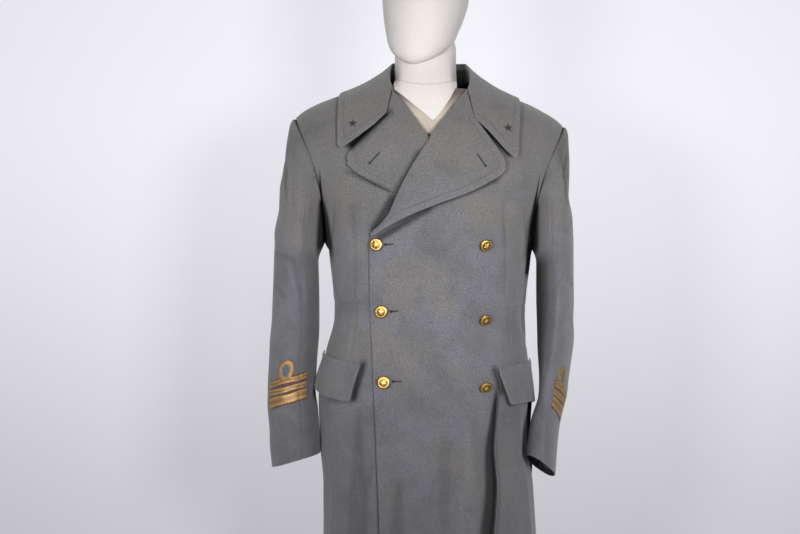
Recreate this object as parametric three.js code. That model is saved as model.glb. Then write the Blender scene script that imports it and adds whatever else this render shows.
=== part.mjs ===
import * as THREE from 'three';

// A double-breasted military overcoat on a limbless display form, in millimetres, +Z up.
// The wearer faces -Y, so the wearer's right side is at -X. The origin is the middle of
// the base's underside. Every cloth piece is a wall between two levels of a body or sleeve
// map, a level being the distance in millimetres out from the coat's base surface.

const cloth = 2.2;
const seam = 0.3;
const deg = Math.PI / 180;

// Coat body, a row for each height: middle, half width, front depth and back depth.
const bodyRows = [
  { z: 352, mid: -3, half: 204, front: 174, back: 176 },
  { z: 500, mid: -3, half: 197, front: 163, back: 163 },
  { z: 700, mid: -4, half: 189, front: 149, back: 147 },
  { z: 790, mid: -6, half: 186, front: 142, back: 138 },
  { z: 870, mid: -15, half: 183, front: 136, back: 130 },
  { z: 965, mid: -14, half: 186, front: 130, back: 121 },
  { z: 1030, mid: -9, half: 178, front: 124, back: 111 },
  { z: 1090, mid: -8, half: 165, front: 119, back: 102 },
  { z: 1190, mid: -6, half: 174, front: 125, back: 110 },
  { z: 1240, mid: -5, half: 180, front: 127, back: 115 },
  { z: 1296, mid: -4, half: 192, front: 125, back: 116 },
  { z: 1331, mid: -4, half: 222, front: 121, back: 114 },
  { z: 1373, mid: -4, half: 250, front: 116, back: 111 },
  { z: 1425, mid: -4, half: 285, front: 110, back: 107 },
  { z: 1560, mid: -4, half: 285, front: 104, back: 102 },
];
// Shoulder seam height by the reach from the middle; the wearer's left side hangs lower.
const shoulderRows = [
  { reach: 0, z: 1540 },
  { reach: 50, z: 1526 },
  { reach: 80, z: 1512 },
  { reach: 120, z: 1496 },
  { reach: 150, z: 1485.5 },
  { reach: 197, z: 1466 },
  { reach: 225, z: 1450 },
  { reach: 240, z: 1437 },
];
const shoulder = { mid: -4, tilt: 0.03, front: 150, back: 135 };
const armhole = { tip: 239, waist: 188, armpit: 1294, drop: 3 };
const neck = { half: 80, backZ: 1500 };
const hemZ = 352;
const breakZ = 1236;
const fullness = 0.25;

// Large folds of the skirt: where each runs at its top and at the hem, how deep and wide.
const foldRows = [
  { face: -1, top: 985, topX: 108, hemX: 66, deep: -21, wide: 13 },
  { face: -1, top: 940, topX: 138, hemX: 138, deep: 11, wide: 26 },
  { face: -1, top: 900, topX: 60, hemX: 30, deep: 7, wide: 22 },
  { face: -1, top: 960, topX: -128, hemX: -140, deep: -7, wide: 16 },
  { face: -1, top: 860, topX: -64, hemX: -40, deep: -6, wide: 15 },
  { face: 1, top: 1010, topX: -95, hemX: -112, deep: -15, wide: 20 },
  { face: 1, top: 1000, topX: 88, hemX: 98, deep: -17, wide: 19 },
  { face: 1, top: 900, topX: -40, hemX: -52, deep: 8, wide: 24 },
  { face: 1, top: 930, topX: 46, hemX: 58, deep: 9, wide: 22 },
];

// The front edge, from the hem up to the break, the roll line and the neck seam.
const edgeRows = [
  { z: 352, x: -74 },
  { z: 730, x: -89 },
  { z: 995, x: -103 },
  { z: 1170, x: -109 },
  { z: 1236, x: -104 },
  { z: 1298, x: -71.5 },
  { z: 1400, x: -10 },
  { z: 1450, x: 25.5 },
  { z: 1490, x: 57 },
  { z: 1520, x: 76 },
];
const edgeMirror = -4.7;

// Sleeve rings, a row for each height: centre, half width across and front to back, how
// far the outer side drops, how far the front rises, and how far the front leans inwards.
const sleeveRightRows = [
  { z: 838, x: -241, y: -32, across: 43, through: 54, drop: 12.5, rise: 3, skew: 0 },
  { z: 875, x: -244, y: -27, across: 45, through: 56, drop: 9, rise: 2, skew: 0 },
  { z: 920, x: -246.5, y: -18, across: 44, through: 59, drop: 4, rise: 1, skew: 0 },
  { z: 964, x: -249.5, y: -11, across: 41, through: 61, drop: 1, rise: 0, skew: 0 },
  { z: 1010, x: -247.5, y: -6, across: 41, through: 65, drop: 0, rise: 0, skew: 0 },
  { z: 1074, x: -244, y: -1, across: 42, through: 71, drop: 0, rise: 0, skew: 0 },
  { z: 1205, x: -243.5, y: 4, across: 40, through: 77, drop: 0, rise: 0, skew: 0 },
  { z: 1284, x: -235, y: 5, across: 35, through: 76, drop: 0, rise: 0, skew: 0 },
];
const sleeveLeftRows = [
  { z: 832, x: 190, y: -72, across: 24, through: 56, drop: 14, rise: 14, skew: 10 },
  { z: 900, x: 200, y: -49, across: 24, through: 61, drop: 8, rise: 7, skew: 14 },
  { z: 953, x: 214, y: -29, across: 21.5, through: 66, drop: 3, rise: 2, skew: 17 },
  { z: 1045, x: 220, y: -9, across: 30, through: 72, drop: 0, rise: 0, skew: 7 },
  { z: 1131, x: 222, y: 0, across: 33, through: 76, drop: 0, rise: 0, skew: 0 },
  { z: 1216, x: 222, y: 4, across: 33.5, through: 78, drop: 0, rise: 0, skew: 0 },
  { z: 1278, x: 221, y: 5, across: 32.5, through: 77, drop: 0, rise: 0, skew: 0 },
];

// Collar, a row for each step from the centre back to a front end: its fold, outer edge and
// neck seam by X and by tip, the angle forward of the shoulder line.
const collarRows = [
  { q: 0, foldX: 0, foldTip: -31, foldOff: 42, edgeX: 0, edgeTip: -68, seamX: 0, seamTip: -44 },
  { q: 0.35, foldX: 46, foldTip: -24, foldOff: 35, edgeX: 88, edgeTip: -52, seamX: 46, seamTip: -32 },
  { q: 0.6, foldX: 66, foldTip: -7, foldOff: 26, edgeX: 140, edgeTip: -22, seamX: 72, seamTip: -8 },
  { q: 0.8, foldX: 70, foldTip: 15, foldOff: 13, edgeX: 158, edgeTip: 10, seamX: 76, seamTip: 12 },
  { q: 0.9, foldX: 68, foldTip: 27, foldOff: 9, edgeX: 160, edgeTip: 36, seamX: 70, seamTip: 26 },
  { q: 1, foldX: 62.5, foldTip: 38, foldOff: 7.5, edgeX: 158, edgeTip: 68, seamX: 63, seamTip: 38 },
];
const collarEdgeOff = 4.6;
const notch = { x: 77, tip: 58, at: 0.35 };

// Lapels, over (wearer's left) and under (wearer's right): tip, notch and rise off the front.
const lapelOver = { tipX: 130, tipZ: 1353, notchX: 71, notchZ: 1438, hollow: 3.5 };
const lapelUnder = { tipX: -149, tipZ: 1362, notchX: -77, notchZ: 1445, hollow: 5 };

const wool = { color: 0x5f6367, roughness: 0.95, metalness: 0 };
const liningBlack = { color: 0x17161a, roughness: 0.7, metalness: 0 };
const gilt = { color: 0xc79a3e, roughness: 0.35, metalness: 1 };
const laceGold = { color: 0xb28a45, roughness: 0.6, metalness: 0.4 };
const laceFelt = { color: 0x5d463c, roughness: 0.95, metalness: 0 };
const starThread = { color: 0x2a2a2c, roughness: 0.8, metalness: 0 };
const linen = { color: 0xd8d0c0, roughness: 0.9, metalness: 0 };
const steel = { color: 0x9a9a9a, roughness: 0.35, metalness: 1 };

const coat = new THREE.Group();

function lerp(a, b, t) {
  return a + (b - a) * t;
}

function clamp(x, low, high) {
  return Math.min(high, Math.max(low, x));
}

function smooth(x) {
  const t = clamp(x, 0, 1);
  return t * t * (3 - 2 * t);
}

function steps(count, from = 0, to = 1) {
  return Array.from({ length: count + 1 }, (_, i) => lerp(from, to, i / count));
}

// Reads a column of a table between its rows, as a curve that never overshoots a row.
function along(rows, key, at, by = 'z') {
  const last = rows.length - 1;
  const here = clamp(at, rows[0][by], rows[last][by]);
  let i = 0;
  while (i < last - 1 && here > rows[i + 1][by]) i += 1;
  const rate = (j) => (rows[j + 1][key] - rows[j][key]) / (rows[j + 1][by] - rows[j][by]);
  const slope = (j) => {
    if (j === 0) return rate(0);
    if (j === last) return rate(last - 1);
    const before = rate(j - 1);
    const after = rate(j);
    return before * after <= 0 ? 0 : (2 * before * after) / (before + after);
  };
  const span = rows[i + 1][by] - rows[i][by];
  const t = (here - rows[i][by]) / span;
  const ease = t * t * (3 - 2 * t);
  const leave = t * (1 - t) * (1 - t) * span;
  const arrive = t * t * (t - 1) * span;
  return lerp(rows[i][key], rows[i + 1][key], ease) + leave * slope(i) + arrive * slope(i + 1);
}

function shoulderLine(x) {
  return along(shoulderRows, 'z', Math.abs(x - shoulder.mid), 'reach') - shoulder.tilt * x;
}

function foldDepth(face, x, z) {
  let sum = 0;
  for (const row of foldRows) {
    if (row.face !== face || z > row.top) continue;
    const down = (row.top - z) / (row.top - hemZ);
    const off = (x - lerp(row.topX, row.hemX, down)) / row.wide;
    sum += row.deep * smooth(down * 2.6) * Math.exp(-off * off);
  }
  return sum;
}

function halfAt(z) {
  return along(bodyRows, 'half', z);
}

// The coat's base surface moved out by a level. Face is -1 in front and 1 behind; turn is
// the angle from the middle of that face to the side.
function bodyPoint(face, turn, z, level) {
  const mid = along(bodyRows, 'mid', z);
  const half = halfAt(z);
  const across = Math.sin(turn);
  const x = mid + half * across;
  const rise = face < 0 ? shoulder.front : shoulder.back;
  const high = clamp(1 - (shoulderLine(x) - z) / rise, 0, 1);
  const out = Math.sqrt(1 - high * high);
  const depth = along(bodyRows, face < 0 ? 'front' : 'back', z) + foldDepth(face, x, z);
  const full = Math.cos(turn) * (1 + fullness * across * across);
  return new THREE.Vector3(
    mid + (half + level * out) * across,
    face * ((depth + level) * full * out + seam / 2),
    z + level * high,
  );
}

// The turn on the body at which a height has a given X.
function turnAt(x, z) {
  return Math.asin(clamp((x - along(bodyRows, 'mid', z)) / halfAt(z), -1, 1));
}

// A point of the shoulder zone by its X and its tip: the angle forward (+) or back (-) from
// the shoulder line.
function yokePoint(x, tip, level) {
  const face = tip >= 0 ? -1 : 1;
  const rise = face < 0 ? shoulder.front : shoulder.back;
  const z = shoulderLine(x) - rise * (1 - Math.cos(tip * deg));
  return bodyPoint(face, turnAt(x, z), z, level);
}

// The armhole seam, from the armpit (0) to the shoulder tip (1), on the wearer's left (1)
// or right (-1).
function armholeAt(side, share) {
  const topZ = shoulderLine(shoulder.mid + side * armhole.tip);
  const lowZ = armhole.armpit - side * armhole.drop;
  const z = lerp(lowZ, topZ, share);
  const wide = armhole.waist + (armhole.tip - armhole.waist) * share ** 1.4;
  const flat = (halfAt(lowZ) - armhole.waist) * (1 - share) ** 12;
  return { z, turn: side * Math.asin(clamp((wide + flat) / halfAt(z), 0, 1)) };
}

// Adds a closed body with its faces turned outwards.
function mesh(name, points, faces, finish) {
  const geometry = new THREE.BufferGeometry().setFromPoints(points);
  let volume = 0;
  for (const [a, b, c] of faces) {
    volume += points[a].dot(new THREE.Vector3().crossVectors(points[b], points[c]));
  }
  const outward = volume > 0 ? faces : faces.map(([a, b, c]) => [a, c, b]);
  geometry.setIndex(outward.flat());
  geometry.computeVertexNormals();
  const made = new THREE.Mesh(geometry, new THREE.MeshStandardMaterial(finish));
  made.name = name;
  coat.add(made);
}

// A closed wall between two levels of a map: place(u, v, level) over lists of u and v. A
// round wall joins its last u to its first.
function wall(name, us, vs, place, levels, finish, round = false) {
  const points = [];
  for (const level of levels) {
    for (const v of vs) {
      for (const u of us) points.push(place(u, v, level));
    }
  }
  const wide = us.length;
  const high = vs.length;
  const at = (k, j, i) => (k * high + j) * wide + (i % wide);
  const faces = [];
  const quad = (a, b, c, d) => faces.push([a, b, c], [a, c, d]);
  const columns = round ? wide : wide - 1;
  for (let i = 0; i < columns; i += 1) {
    for (let j = 0; j < high - 1; j += 1) {
      quad(at(1, j, i), at(1, j, i + 1), at(1, j + 1, i + 1), at(1, j + 1, i));
      quad(at(0, j, i + 1), at(0, j, i), at(0, j + 1, i), at(0, j + 1, i + 1));
    }
    quad(at(0, 0, i), at(0, 0, i + 1), at(1, 0, i + 1), at(1, 0, i));
    quad(at(1, high - 1, i), at(1, high - 1, i + 1), at(0, high - 1, i + 1), at(0, high - 1, i));
  }
  for (let j = 0; j < high - 1 && !round; j += 1) {
    quad(at(0, j, 0), at(1, j, 0), at(1, j + 1, 0), at(0, j + 1, 0));
    quad(at(1, j, wide - 1), at(0, j, wide - 1), at(0, j + 1, wide - 1), at(1, j + 1, wide - 1));
  }
  mesh(name, points, faces, finish);
}

// A closed solid of stacked rings: ring(v) gives a ring's points, from the side round the
// front. Each end is closed by strips from its front half to its back half.
function stack(name, vs, ring, finish) {
  const rings = vs.map(ring);
  const count = rings[0].length;
  const points = rings.flat();
  const faces = [];
  for (let j = 0; j < rings.length - 1; j += 1) {
    for (let i = 0; i < count; i += 1) {
      const next = (i + 1) % count;
      const a = j * count + i;
      const b = j * count + next;
      faces.push([a, b, b + count], [a, b + count, a + count]);
    }
  }
  const top = (rings.length - 1) * count;
  for (let i = 0; i < count / 2; i += 1) {
    const [a, b] = [i, i + 1];
    const [c, d] = [(count - i - 1) % count, (count - i) % count];
    if (b !== c) faces.push([a, c, b], [top + a, top + b, top + c]);
    if (a !== d) faces.push([a, d, c], [top + a, top + c, top + d]);
  }
  mesh(name, points, faces, finish);
}

// Level of the over front above the base: it clears the under front, and the under lapel
// above the break, and comes down to the base past them.
function overLevel(x, z) {
  const past = smooth((edgeAt(-1, z) + 65 - x) / 55);
  return lerp(3.6, 8, smooth((z - 1150) / 80)) * past;
}

// Level of the under front where the over front hides it: it lies back a little.
function underLevel(x, z) {
  return -8 * smooth((x - edgeAt(1, z) + 4) / 40);
}

const sideShare = 0.22;

// The height share of a yoke row: rows lie closer where the shoulder turns over.
function eased(share) {
  const q = clamp((share - sideShare) / (1 - sideShare), 0, 1);
  return share < sideShare ? share : sideShare + (1 - sideShare) * (1 - (1 - q) ** 1.8);
}

// Rows of a body panel: heights up to the break, then shares of the way to its top.
const skirtRows = steps(13).map((t) => ({ z: lerp(hemZ, breakZ, t) }));
const yokeRows = [0.11, ...steps(8).map((t) => lerp(sideShare, 1, t))].map((v) => ({ z: breakZ, v }));
const panelRows = [...skirtRows, ...yokeRows];

// The side boundary of a panel: the side seam to the armpit, then the armhole seam.
function sideOf(side, row) {
  const turn = side * 90 * deg;
  if (row.v === undefined) return { z: row.z, turn };
  const lowZ = armhole.armpit - side * armhole.drop;
  if (row.v < sideShare) return { z: lerp(breakZ, lowZ, row.v / sideShare), turn };
  const share = (1 - Math.cos((Math.PI * (row.v - sideShare)) / (1 - sideShare))) / 2;
  return armholeAt(side, share);
}

// A point between two boundary points of a panel: the height slides with the X between them.
function between(inner, outer, u) {
  const turn = lerp(inner.turn, outer.turn, u);
  const run = Math.sin(outer.turn) - Math.sin(inner.turn);
  const slide = (Math.sin(turn) - Math.sin(inner.turn)) / run;
  return { turn, z: lerp(inner.z, outer.z, slide) };
}

// A body panel from its inner edge to the side; its top rows rise to the line of the crown.
function panelPoint(face, side, innerOf, crown, u, row, levelAt) {
  const here = between(innerOf(row), sideOf(side, row), u);
  const top = between(innerOf({ v: 1 }), sideOf(side, { v: 1 }), u);
  const topX = shoulder.mid + halfAt(1500) * Math.sin(top.turn);
  const lift = row.v === undefined ? 0 : eased(row.v) ** 2 * (crown(topX) - top.z);
  const z = here.z + lift;
  return bodyPoint(face, here.turn, z, levelAt(bodyPoint(face, here.turn, z, 0).x, z));
}

// The X of a front edge or roll line on either side.
function edgeAt(side, z) {
  const x = along(edgeRows, 'x', z);
  return side > 0 ? x : 2 * edgeMirror - x;
}

function frontPanel(name, side, rise) {
  const neckX = shoulder.mid + side * neck.half;
  const neckZ = shoulderLine(neckX);
  const innerOf = (row) => {
    const z = row.v === undefined ? row.z : lerp(breakZ, neckZ, eased(row.v));
    return { z, turn: turnAt(row.v === 1 ? neckX : edgeAt(side, z), z) };
  };
  const place = (u, row, level) =>
    panelPoint(-1, side, innerOf, shoulderLine, u, row, (x, z) => level + rise(x, z));
  wall(name, steps(16), panelRows, place, [0, cloth], wool);
}

function backPanel(name, side) {
  const innerOf = (row) => {
    const z = row.v === undefined ? row.z : lerp(breakZ, neck.backZ, eased(row.v));
    return { z, turn: turnAt(along(bodyRows, 'mid', z) + (side * seam) / 2, z) };
  };
  const neckZ = shoulderLine(shoulder.mid + side * neck.half);
  const crown = (x) => {
    const share = Math.abs(x - shoulder.mid) / neck.half;
    return share > 1 ? shoulderLine(x) : lerp(neck.backZ, neckZ, share * share);
  };
  const place = (u, row, level) => panelPoint(1, side, innerOf, crown, u, row, () => level);
  wall(name, steps(12), panelRows, place, [0, cloth], wool);
}

frontPanel('front_right', -1, underLevel);
frontPanel('front_left', 1, overLevel);
backPanel('back_right', -1);
backPanel('back_left', 1);

// A point on a sleeve at a height: turn is 0 on the outer side, 90 degrees in front.
function ringPoint(side, turn, height, level) {
  const rows = side < 0 ? sleeveRightRows : sleeveLeftRows;
  const read = (key) => along(rows, key, height);
  const out = Math.cos(turn);
  const ahead = Math.sin(turn);
  return new THREE.Vector3(
    read('x') + side * ((read('across') + level - cloth) * out - read('skew') * ahead),
    read('y') - (read('through') + level - cloth) * ahead,
    height - read('drop') * out + read('rise') * ahead,
  );
}

// The sleeve head runs from the armhole seam to the top ring as one smooth curve.
function capPoint(side, turn, t, level) {
  const face = Math.sin(turn) > 1e-9 ? -1 : 1;
  const from = armholeAt(side, (1 + Math.cos(turn)) / 2);
  const under = smooth(-1.3 * Math.cos(turn));
  const radial = new THREE.Vector3(0, -Math.sin(turn), Math.cos(turn));
  const start = bodyPoint(face, from.turn, from.z, level * (1 - under))
    .addScaledVector(radial, level * under)
    .add(new THREE.Vector3(side * (seam + 0.1 + cloth * under), 0, 0));
  const rows = side < 0 ? sleeveRightRows : sleeveLeftRows;
  const end = ringPoint(side, turn, rows[rows.length - 1].z, level);
  const reach = start.distanceTo(end);
  const leave = new THREE.Vector3(side, 0, -0.15 - 0.1 * Math.cos(turn)).multiplyScalar(0.75 * reach);
  const arrive = new THREE.Vector3(0, 0, -0.9 * reach);
  return start
    .multiplyScalar(1 - t * t * (3 - 2 * t))
    .addScaledVector(leave, t * (1 - t) * (1 - t))
    .addScaledVector(end, t * t * (3 - 2 * t))
    .addScaledVector(arrive, t * t * (t - 1));
}

function sleevePoint(side, turn, row, level) {
  if (row.cap !== undefined) return capPoint(side, turn, row.cap, level);
  return ringPoint(side, turn, row.z, level);
}

function sleeve(side, label) {
  const rows = side < 0 ? sleeveRightRows : sleeveLeftRows;
  const capRows = [0, 0.16, 0.4, 0.7].map((cap) => ({ cap }));
  const armRows = steps(9, rows[rows.length - 1].z, rows[0].z).map((z) => ({ z }));
  const slit = seam / 60;
  const place = (turn, row, level) => sleevePoint(side, turn, row, level);
  const turns = (from, to) => {
    const list = steps(Math.round((to - from) / 22.5), from * deg, to * deg);
    list[0] += slit;
    list[list.length - 1] -= slit;
    return list;
  };
  wall(`sleeve_upper_${label}`, turns(-112.5, 112.5), [...capRows, ...armRows], place, [0, cloth], wool);
  wall(`sleeve_under_${label}`, turns(112.5, 247.5), [...capRows, ...armRows], place, [0, cloth], wool);
  const liningRows = [rows[0].z + 8, armRows[8].z, armRows[7].z].map((z) => ({ z }));
  const around = steps(16, 0, 2 * Math.PI).slice(0, 16);
  wall(`cuff_lining_${label}`, around, liningRows, place, [-2.5, -1.2], liningBlack, true);
}

sleeve(-1, 'right');
sleeve(1, 'left');

// A lapel lies folded back on its front: u runs from the roll line to the outer edge, v
// from the break up to the gorge, the seam that it shares with the collar.
const gorgeZ = 1490;

function lapelPoint(side, shape, u, v, levelAt) {
  const rollZ = lerp(breakZ, gorgeZ, v);
  const rollX = edgeAt(side, rollZ);
  const outX = lerp(edgeAt(side, breakZ), shape.tipX, v);
  const outZ = lerp(breakZ, shape.tipZ, v) + 8 * Math.sin(Math.PI * v);
  const topX = edgeAt(side, gorgeZ);
  const tent = u < notch.at ? u / notch.at : (1 - u) / (1 - notch.at);
  const bend = tent * v ** 4;
  const x = lerp(rollX, outX, u) + bend * (shape.notchX - lerp(topX, shape.tipX, notch.at));
  const z = lerp(rollZ, outZ, u) + bend * (shape.notchZ - lerp(gorgeZ, shape.tipZ, notch.at));
  return bodyPoint(-1, turnAt(x, z), z, levelAt(x, z));
}

// The over lapel stands off all its own front.
function overRise(x, z, u) {
  return overLevel(x, z) + cloth + 2.4 + lapelOver.hollow * smooth(u * 2);
}

// The under lapel only stands off where the over front leaves it free.
function underRise(x, z, u) {
  const free = smooth((edgeAt(1, z) - 8 - x) / 40);
  return 3.8 + free * lapelUnder.hollow * smooth(u * 2);
}

function lapel(name, side, shape, rise) {
  const place = (u, v, level) =>
    lapelPoint(side, shape, u, v, (x, z) => level + rise(x, z, u));
  wall(name, [0, 0.12, 0.35, 0.55, 0.78, 1], steps(9, 0.03, 0.985), place, [0, cloth], wool);
}

lapel('lapel_left', 1, lapelOver, overRise);
lapel('lapel_right', -1, lapelUnder, underRise);

// The collar's fall, from the fold (u = 0) to its outer edge (u = 1); q runs round the neck
// from the wearer's right end (-1) to the left end (1).
function fallPoint(q, u, level) {
  const row = (key) => along(collarRows, key, Math.abs(q), 'q');
  const tent = u < notch.at ? u / notch.at : (1 - u) / (1 - notch.at);
  const bend = tent * smooth((Math.abs(q) - 0.82) / 0.18);
  const straightX = lerp(62.5, 158, notch.at);
  const straightTip = lerp(38, 68, notch.at);
  const x = lerp(row('foldX'), row('edgeX'), u) + bend * (notch.x - straightX);
  const tip = lerp(row('foldTip'), row('edgeTip'), u) + bend * (notch.tip - straightTip);
  const off = lerp(collarEdgeOff, row('foldOff'), (1 - u) ** 1.5);
  return yokePoint(shoulder.mid + Math.sign(q || 1) * x, tip, off + level);
}

function standPoint(q, u, level) {
  const row = (key) => along(collarRows, key, Math.abs(q), 'q');
  const x = lerp(row('seamX'), row('foldX'), u);
  const tip = lerp(row('seamTip'), row('foldTip'), u);
  const off = lerp(cloth + 0.4, row('foldOff') - 2.8, u);
  return yokePoint(shoulder.mid + Math.sign(q || 1) * x, tip, off + level);
}

const halfNeck = [0.08, 0.2, 0.32, 0.44, 0.54, 0.62, 0.7, 0.78, 0.85, 0.9, 0.95, 1];
const roundNeck = [...halfNeck.map((q) => -q).reverse(), 0, ...halfNeck];
const standNeck = roundNeck.filter((q) => Math.abs(q) < 0.93);
wall('collar_fall', roundNeck, [0, 0.08, 0.2, 0.35, 0.6, 0.82, 1], fallPoint, [0, cloth], wool);
wall('collar_stand', standNeck, steps(2), standPoint, [0, cloth], wool);
const liningNeck = standNeck.filter((q) => Math.abs(q) < 0.75);
wall('neck_lining', liningNeck, [0.02, 0.5, 0.9], standPoint, [-4.4, -3.1], liningBlack);

// Any angle round the body: 0 in front, 90 degrees at the wearer's left side.
function aroundPoint(angle, z, level) {
  const behind = Math.abs(angle) > 90 * deg;
  return bodyPoint(behind ? 1 : -1, behind ? Math.sign(angle) * Math.PI - angle : angle, z, level);
}

// Pocket flaps: the angles and heights of the corners, how far the free edge stands off, and
// the level of the front below.
const flapRows = [
  {
    name: 'pocket_flap_right',
    topAngles: [-38, -93],
    topZ: [1011, 1030],
    lowAngles: [-43, -92],
    lowZ: [947, 962],
    off: [6, 0.6],
    under: () => 0,
  },
  {
    name: 'pocket_flap_left',
    topAngles: [43, 97],
    topZ: [1005, 1018],
    lowAngles: [50, 96],
    lowZ: [942, 944],
    off: [8, 2.2],
    under: overLevel,
  },
];
for (const flap of flapRows) {
  const place = (a, b, level) => {
    const angle = lerp(lerp(...flap.topAngles, a), lerp(...flap.lowAngles, a), b) * deg;
    const z = lerp(lerp(...flap.topZ, a), lerp(...flap.lowZ, a), b);
    const off = lerp(...flap.off, a) * b + 5 * b * a * (1 - a);
    const under = flap.under(aroundPoint(angle, z, 0).x, z);
    return aroundPoint(angle, z, under + cloth + 0.4 + off + level);
  };
  wall(flap.name, steps(7), steps(4), place, [0, cloth], wool);
}

// Buttons: a domed gilt face on a shank, an outline of radius and height above the shank's
// middle, with the shank's foot reaching down to the cloth.
const button = { radius: 11.2, seat: 5.4, rim: 1.6, dome: 3.4, shank: 2 };
const buttonOutline = (foot) => [
  [0, -foot],
  [button.shank, -foot],
  [button.shank, button.seat],
  [button.radius - 1.2, button.seat + 0.3],
  [button.radius, button.seat + 1],
  [button.radius, button.seat + button.rim],
  [button.radius * 0.84, button.seat + button.rim + 0.9],
  [button.radius * 0.5, button.seat + button.rim + 2.2],
  [0, button.seat + button.rim + button.dome - 0.6],
].map(([r, h]) => new THREE.Vector2(r, h));

// The left column sits along the edge of the over front, the right column hangs down a bit.
// Droop and swing are the angles in degrees by which a face hangs down and turns aside, and
// foot is how far its shank reaches down to the cloth.
const buttonRows = [
  { name: 'button_right_top', x: -91, z: 1219, droop: 0, swing: 0, foot: 1.3 },
  { name: 'button_right_middle', x: -84.5, z: 1103.5, droop: 4, swing: 0, foot: 0.3 },
  { name: 'button_right_bottom', x: -81, z: 982, droop: 8, swing: 0, foot: 0.7 },
  { name: 'button_left_top', x: 83, z: 1219, droop: 22, swing: 8, foot: 2.8 },
  { name: 'button_left_middle', x: 84, z: 1091, droop: 34, swing: 14, foot: 1.4 },
  { name: 'button_left_bottom', x: 83.5, z: 976, droop: 38, swing: 8, foot: 2.7 },
];

function surfaceFrame(place) {
  const here = place(0, 0);
  const across = place(1, 0).sub(here);
  const rise = place(0, 1).sub(here);
  return { here, out: across.cross(rise).normalize() };
}

function frontFrame(x, z, level) {
  return surfaceFrame((dx, dz) => bodyPoint(-1, turnAt(x + dx, z + dz), z + dz, level));
}

for (const { name, x, z, droop, swing, foot } of buttonRows) {
  const lift = button.radius * Math.sin(droop * deg) * 0.5;
  const { here, out } = frontFrame(x, z, overLevel(x, z) + cloth + seam + lift);
  const lean = new THREE.Vector3(Math.sin(swing * deg), 0, -Math.tan(droop * deg));
  const facing = out.clone().add(lean).normalize();
  const geometry = new THREE.LatheGeometry(buttonOutline(foot), 16);
  const made = new THREE.Mesh(geometry, new THREE.MeshStandardMaterial(gilt));
  made.name = name;
  made.quaternion.setFromUnitVectors(new THREE.Vector3(0, 1, 0), facing);
  made.position.copy(here);
  coat.add(made);
}

// Rank lace on a sleeve, laid out flat in millimetres: across to the right as seen, and up.
const laces = [
  { label: 'right', side: -1, turn: 78, z: 968, slope: 0.24, wide: [-36, 40], sign: 1 },
  { label: 'left', side: 1, turn: 34, z: 953, slope: -0.55, wide: [-20, 44], sign: -1 },
];
const laceBars = [
  { name: 'top', low: 8, high: 16 },
  { name: 'middle', low: -7, high: 1 },
  { name: 'broad', low: -27, high: -12 },
];

function lacePoint(lace, across, upward, level) {
  const rows = lace.side < 0 ? sleeveRightRows : sleeveLeftRows;
  const z = lace.z + upward;
  const parts = 10;
  let turn = lace.turn * deg;
  for (let i = 0; i < parts; i += 1) {
    const wide = along(rows, 'across', z) * Math.sin(turn) + along(rows, 'skew', z) * Math.cos(turn);
    const deep = along(rows, 'through', z) * Math.cos(turn);
    turn += (lace.sign * across) / parts / Math.hypot(wide, deep);
  }
  return ringPoint(lace.side, turn, z + lace.slope * across, level);
}

for (const lace of laces) {
  const spread = steps(12, ...lace.wide);
  const flat = (across, upward, level) => lacePoint(lace, across, upward, cloth + level);
  wall(`lace_ground_${lace.label}`, spread, [-30, -12, 1, 19], flat, [1.6, 2.6], laceFelt);
  for (const bar of laceBars) {
    wall(`lace_${bar.name}_${lace.label}`, spread, [bar.low, bar.high], flat, [3.1, 4.1], laceGold);
  }
  wall(`lace_loop_fill_${lace.label}`, steps(2, -4.2, 4.2), [27, 42], flat, [0.8, 1.8], laceFelt);
  const arch = steps(12, -40 * deg, 220 * deg);
  const loop = (angle, out, level) => {
    const across = lerp(7, 14.5, out) * Math.cos(angle);
    return flat(across, 34 + lerp(12.5, 21, out) * Math.sin(angle), level);
  };
  wall(`lace_loop_${lace.label}`, arch, [0, 1], loop, [0.8, 1.8], laceGold);
}

// Small embroidered stars on the collar ends.
const star = { outer: 8, inner: 3.3, thick: 1.2 };
for (const [label, side] of [['right', -1], ['left', 1]]) {
  const { here, out } = surfaceFrame((a, b) =>
    fallPoint(side * (0.955 - b * 0.02), 0.74 + side * a * 0.02, cloth + 0.3));
  const shape = new THREE.Shape(steps(9).map((t, i) => {
    const angle = i * 36 * deg + 90 * deg;
    const reach = i % 2 ? star.inner : star.outer;
    return new THREE.Vector2(reach * Math.cos(angle), reach * Math.sin(angle));
  }));
  const geometry = new THREE.ExtrudeGeometry(shape, { depth: star.thick, bevelEnabled: false });
  const made = new THREE.Mesh(geometry, new THREE.MeshStandardMaterial(starThread));
  made.name = `collar_star_${label}`;
  const outward = out.y > 0 ? out.negate() : out;
  made.quaternion.setFromUnitVectors(new THREE.Vector3(0, 0, 1), outward);
  made.position.copy(here);
  coat.add(made);
}

// The display form: a torso inside the coat, a neck and a plain egg-shaped head.
const torso = { low: 955, top: 1497, side: 3, frontBack: 11 };
const torsoGaps = [
  { z: 955, gap: 24 },
  { z: 1090, gap: 11 },
  { z: 1190, gap: 15 },
  { z: 1296, gap: 9 },
  { z: 1400, gap: 4 },
  { z: 1520, gap: 2 },
];
const circle = steps(40, 0, 2 * Math.PI).slice(0, 40);

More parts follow.
